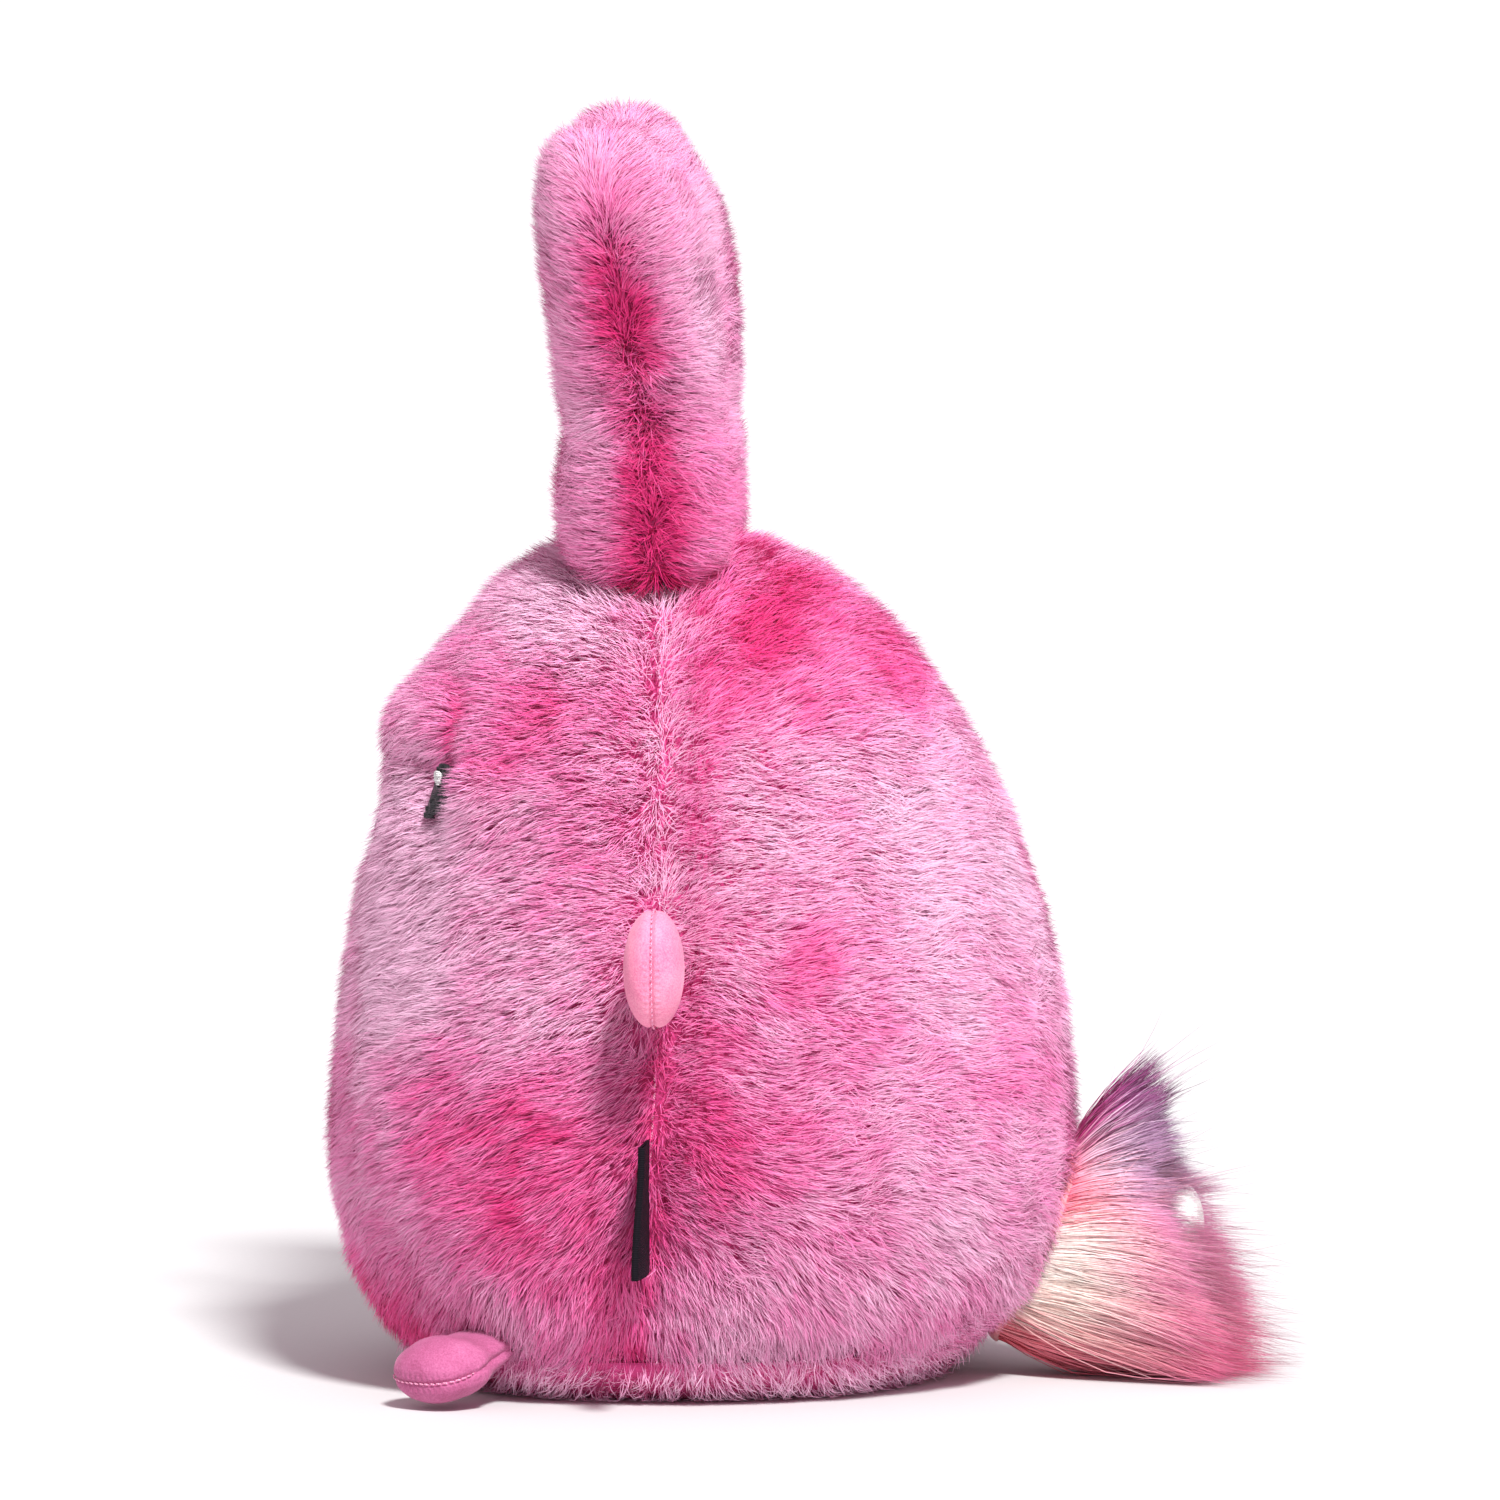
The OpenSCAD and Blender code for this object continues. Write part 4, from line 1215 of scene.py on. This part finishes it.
def side_label():
    """A folded ribbon: two plies that meet in a soft loop, a little bent."""
    low, high = (np.array(v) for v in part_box("side_label"))
    reach, gap, ply = high[0] - low[0], 0.9 * MM, 0.7 * MM
    middle = (low[1] + high[1]) / 2
    outline = []
    steps = 14
    for i in range(steps + 1):
        outline.append((-6 * MM + (reach + 6 * MM - gap) * i / steps, gap))
    for i in range(1, 8):
        a = math.pi * i / 8
        outline.append((reach - gap + gap * math.sin(a) * 1.1, gap * math.cos(a)))
    for i in range(steps + 1):
        outline.append((reach - gap - (reach + 6 * MM - gap) * i / steps, -gap))
    rows = 24
    verts, faces = [], []
    n = len(outline)
    for r in range(rows + 1):
        z = low[2] + (high[2] - low[2]) * r / rows
        v = 2 * r / rows - 1
        for x, y in outline:
            t = max(0, x / reach)
            sway = -1.7 * MM * t * t * (1 - 0.5 * v) + 0.5 * MM * math.sin(2.2 * v) * t
            verts.append((low[0] + x, middle + y * (0.35 + 0.65 * t) + sway, z))
    for r in range(rows):
        for i in range(n - 1):
            a = r * n + i
            faces.append((a, a + 1, a + 1 + n, a + n))
    obj = new_object("side_label_ribbon", mesh_from("side_label_ribbon", verts, faces))
    thick = obj.modifiers.new("Solidify", "SOLIDIFY")
    thick.thickness = ply
    thick.offset = 0
    edge = obj.modifiers.new("Bevel", "BEVEL")
    edge.width = 0.12 * MM
    edge.segments = 2
    set_mesh(obj, baked_mesh(obj))
    obj.data.shade_smooth()
    obj.data.materials.append(RIBBON)
    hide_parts("side_label")
    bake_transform(obj)


side_label()


# --- tail ----------------------------------------------------------------------------

TAIL_PIVOT = np.array(JOINTS["tail_lift"]["pos_m"])
# Colours of the tail by the height of a strand's root over the neck, in millimetres, each
# from root to tip
TAIL_LEVELS = (-34, -24, -16, -4, 8, 18, 29, 37)
TAIL_COLORS = np.array([
    [linear(*c) for c in row] for row in (
        ((240, 90, 110), (255, 120, 140), (255, 130, 160), (250, 110, 160)),
        ((255, 150, 160), (255, 150, 165), (255, 145, 168), (250, 110, 165)),
        ((255, 225, 212), (255, 215, 205), (255, 170, 185), (250, 120, 170)),
        ((255, 246, 236), (255, 240, 228), (255, 200, 208), (240, 130, 180)),
        ((255, 222, 214), (255, 220, 216), (255, 186, 200), (232, 130, 184)),
        ((255, 105, 130), (255, 140, 160), (252, 180, 200), (215, 150, 195)),
        ((250, 130, 160), (232, 196, 214), (214, 184, 208), (170, 130, 172)),
        ((176, 46, 112), (180, 56, 126), (176, 84, 146), (110, 48, 100)),
    )])
# At heights over the neck in millimetres: lean over straight back in degrees, length, and
# how far behind the neck the pouch's own front lies
LEAN_LEVELS = (-34, -20, -8, 4, 14, 24, 31, 40)
TAIL_LEANS = (-3, -7, -8, -5, 1, 9, 24, 46)
TAIL_LENGTHS = (84, 80, 70, 56, 44, 34, 32, 42)
TAIL_FRONT = (-40, -34, -26, -20, -15, -12, -11, -11)


def tail_tints(level, count_points, rng, far):
    """Colours along each strand by the height of its root."""
    spots = np.interp(level, TAIL_LEVELS, range(len(TAIL_LEVELS)))
    spots = np.clip(spots + rng.normal(0, 0.30, len(level)), 0, len(TAIL_LEVELS) - 1.001)
    low = spots.astype(int)
    f = (spots - low)[:, None, None]
    row = TAIL_COLORS[low] * (1 - f) + TAIL_COLORS[low + 1] * f
    out = np.empty((len(level), count_points, 3))
    for k in range(count_points):
        place = 3 * k / (count_points - 1)
        i = min(2, int(place))
        out[:, k] = row[:, i] * (1 - place + i) + row[:, i + 1] * (place - i)
    out *= rng.uniform(0.92, 1.15, (len(level), 1, 1))
    tip = np.where(far, 0.2, 1.0)
    out[:, -1] *= tip[:, None]
    out[:, -2] *= (0.5 + 0.5 * tip)[:, None]
    return np.clip(out, 0, 1)


def into_locks(lines, count, rng):
    """Draws strands together towards their tips, round some of their own number."""
    leads = lines[rng.choice(len(lines), count, replace=False)]
    lead, _ = nearest_point(lines[:, 0], leads[:, 0])
    t = np.linspace(0, 1, lines.shape[1])[None, :, None]
    return lines + (leads[lead] - lines) * 0.40 * t ** 1.4, lead


def tail_fur(name, skin, count, seed):
    """Long pile that sweeps back from the pouch, and up at its top, in pointed locks."""
    rng = np.random.default_rng(seed)
    p, n = scatter(skin.data, count, rng)
    level = (p[:, 2] - TAIL_PIVOT[2]) / MM + 2 * noise(p, 9 * MM, 624)
    lean = np.radians(np.interp(level, LEAN_LEVELS, TAIL_LEANS) + rng.normal(0, 4, count))
    fan = np.stack([0.30 * p[:, 0] / (22 * MM), np.cos(lean), np.sin(lean)], axis=1)
    way = unit(fan + 0.14 * noise(p, 6 * MM, 621, 3) * np.array([0.5, 1, 1]))
    long = np.interp(level, LEAN_LEVELS, TAIL_LENGTHS) * MM
    long *= 1 + 0.10 * noise(p, 5 * MM, 622) + rng.normal(0, 0.06, count)
    points = 7
    lines = [p - n * MM]
    for k in range(1, points):
        t = k / (points - 1)
        curl = 0.12 * noise(p + 0.03 * k, 9 * MM, 623, 3) * t
        step = unit(way + n * 0.4 * (1 - t) ** 2 - UP * 0.10 * t * t + curl)
        lines.append(lines[-1] + step * (long / (points - 1))[:, None])
    lines, lock = into_locks(np.stack(lines, axis=1), count // 90, rng)
    far = rng.random(count) < 0.05
    stretch = rng.normal(1, 0.07, count // 90)[lock] * np.where(far, 1.25, 1.0)
    lines = lines[:, :1] + (lines - lines[:, :1]) * stretch[:, None, None]
    t = np.linspace(0, 1, points)[None, :, None]
    stray = rng.normal(0, 1, (count, 1, 3)) * np.where(far, 6, 1.2)[:, None, None] * MM
    lines = lines + stray * t * t
    lines[:, :, 2] = np.maximum(lines[:, :, 2],
                                (0.5 + 4.0 * rng.random(count)[:, None]) * MM)
    ahead = (lines[:, :, 1] - lines[:, :1, 1]).max(axis=1)
    room = CAD_BOX[1][1] + 18.5 * MM - lines[:, 0, 1]
    over = np.minimum(1, room / np.maximum(ahead, 1e-6))
    lines = lines[:, :1] + (lines - lines[:, :1]) * over[:, None, None]
    turn = rng.uniform(-1.2, 1.2, count)[:, None]
    across = strand_sides(lines, n, turn)
    wide = rng.uniform(0.15, 0.28, count) * MM * np.where(far, 0.7, 1.0)
    widths = wide[:, None] * np.linspace(1, 0.35, points - 1)
    tints = tail_tints(level, points, rng, far)
    obj = new_object(name, strand_mesh(name, lines, across, widths, tints, unit(way + n)))
    obj.data.materials.append(TAIL_FUR)
    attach(obj, "tail")


def shape_tail():
    """Sets the pouch along the back of the body, with its foot curled in under it."""
    co = vertices_of(tail.data)
    low, high = co.min(axis=0), co.max(axis=0)
    u = 2 * (co - low) / (high - low) - 1
    z = 3 * MM + 36 * MM * u[:, 2]
    y = np.interp(z / MM, LEAN_LEVELS, TAIL_FRONT) * MM + (u[:, 1] + 1) * 8 * MM
    set_vertices(tail.data, TAIL_PIVOT + np.stack([24 * MM * u[:, 0], y, z], axis=1))


shape_tail()
tail.name = "tail_skin"
finish_skin(tail, TAIL_BACKING, ["tail_fur_pouch"], "tail")
tail_fur("tail_fur_near", tail, TAIL_COUNT, 600)
tail_fur("tail_fur_far", tail, TAIL_COUNT, 700)
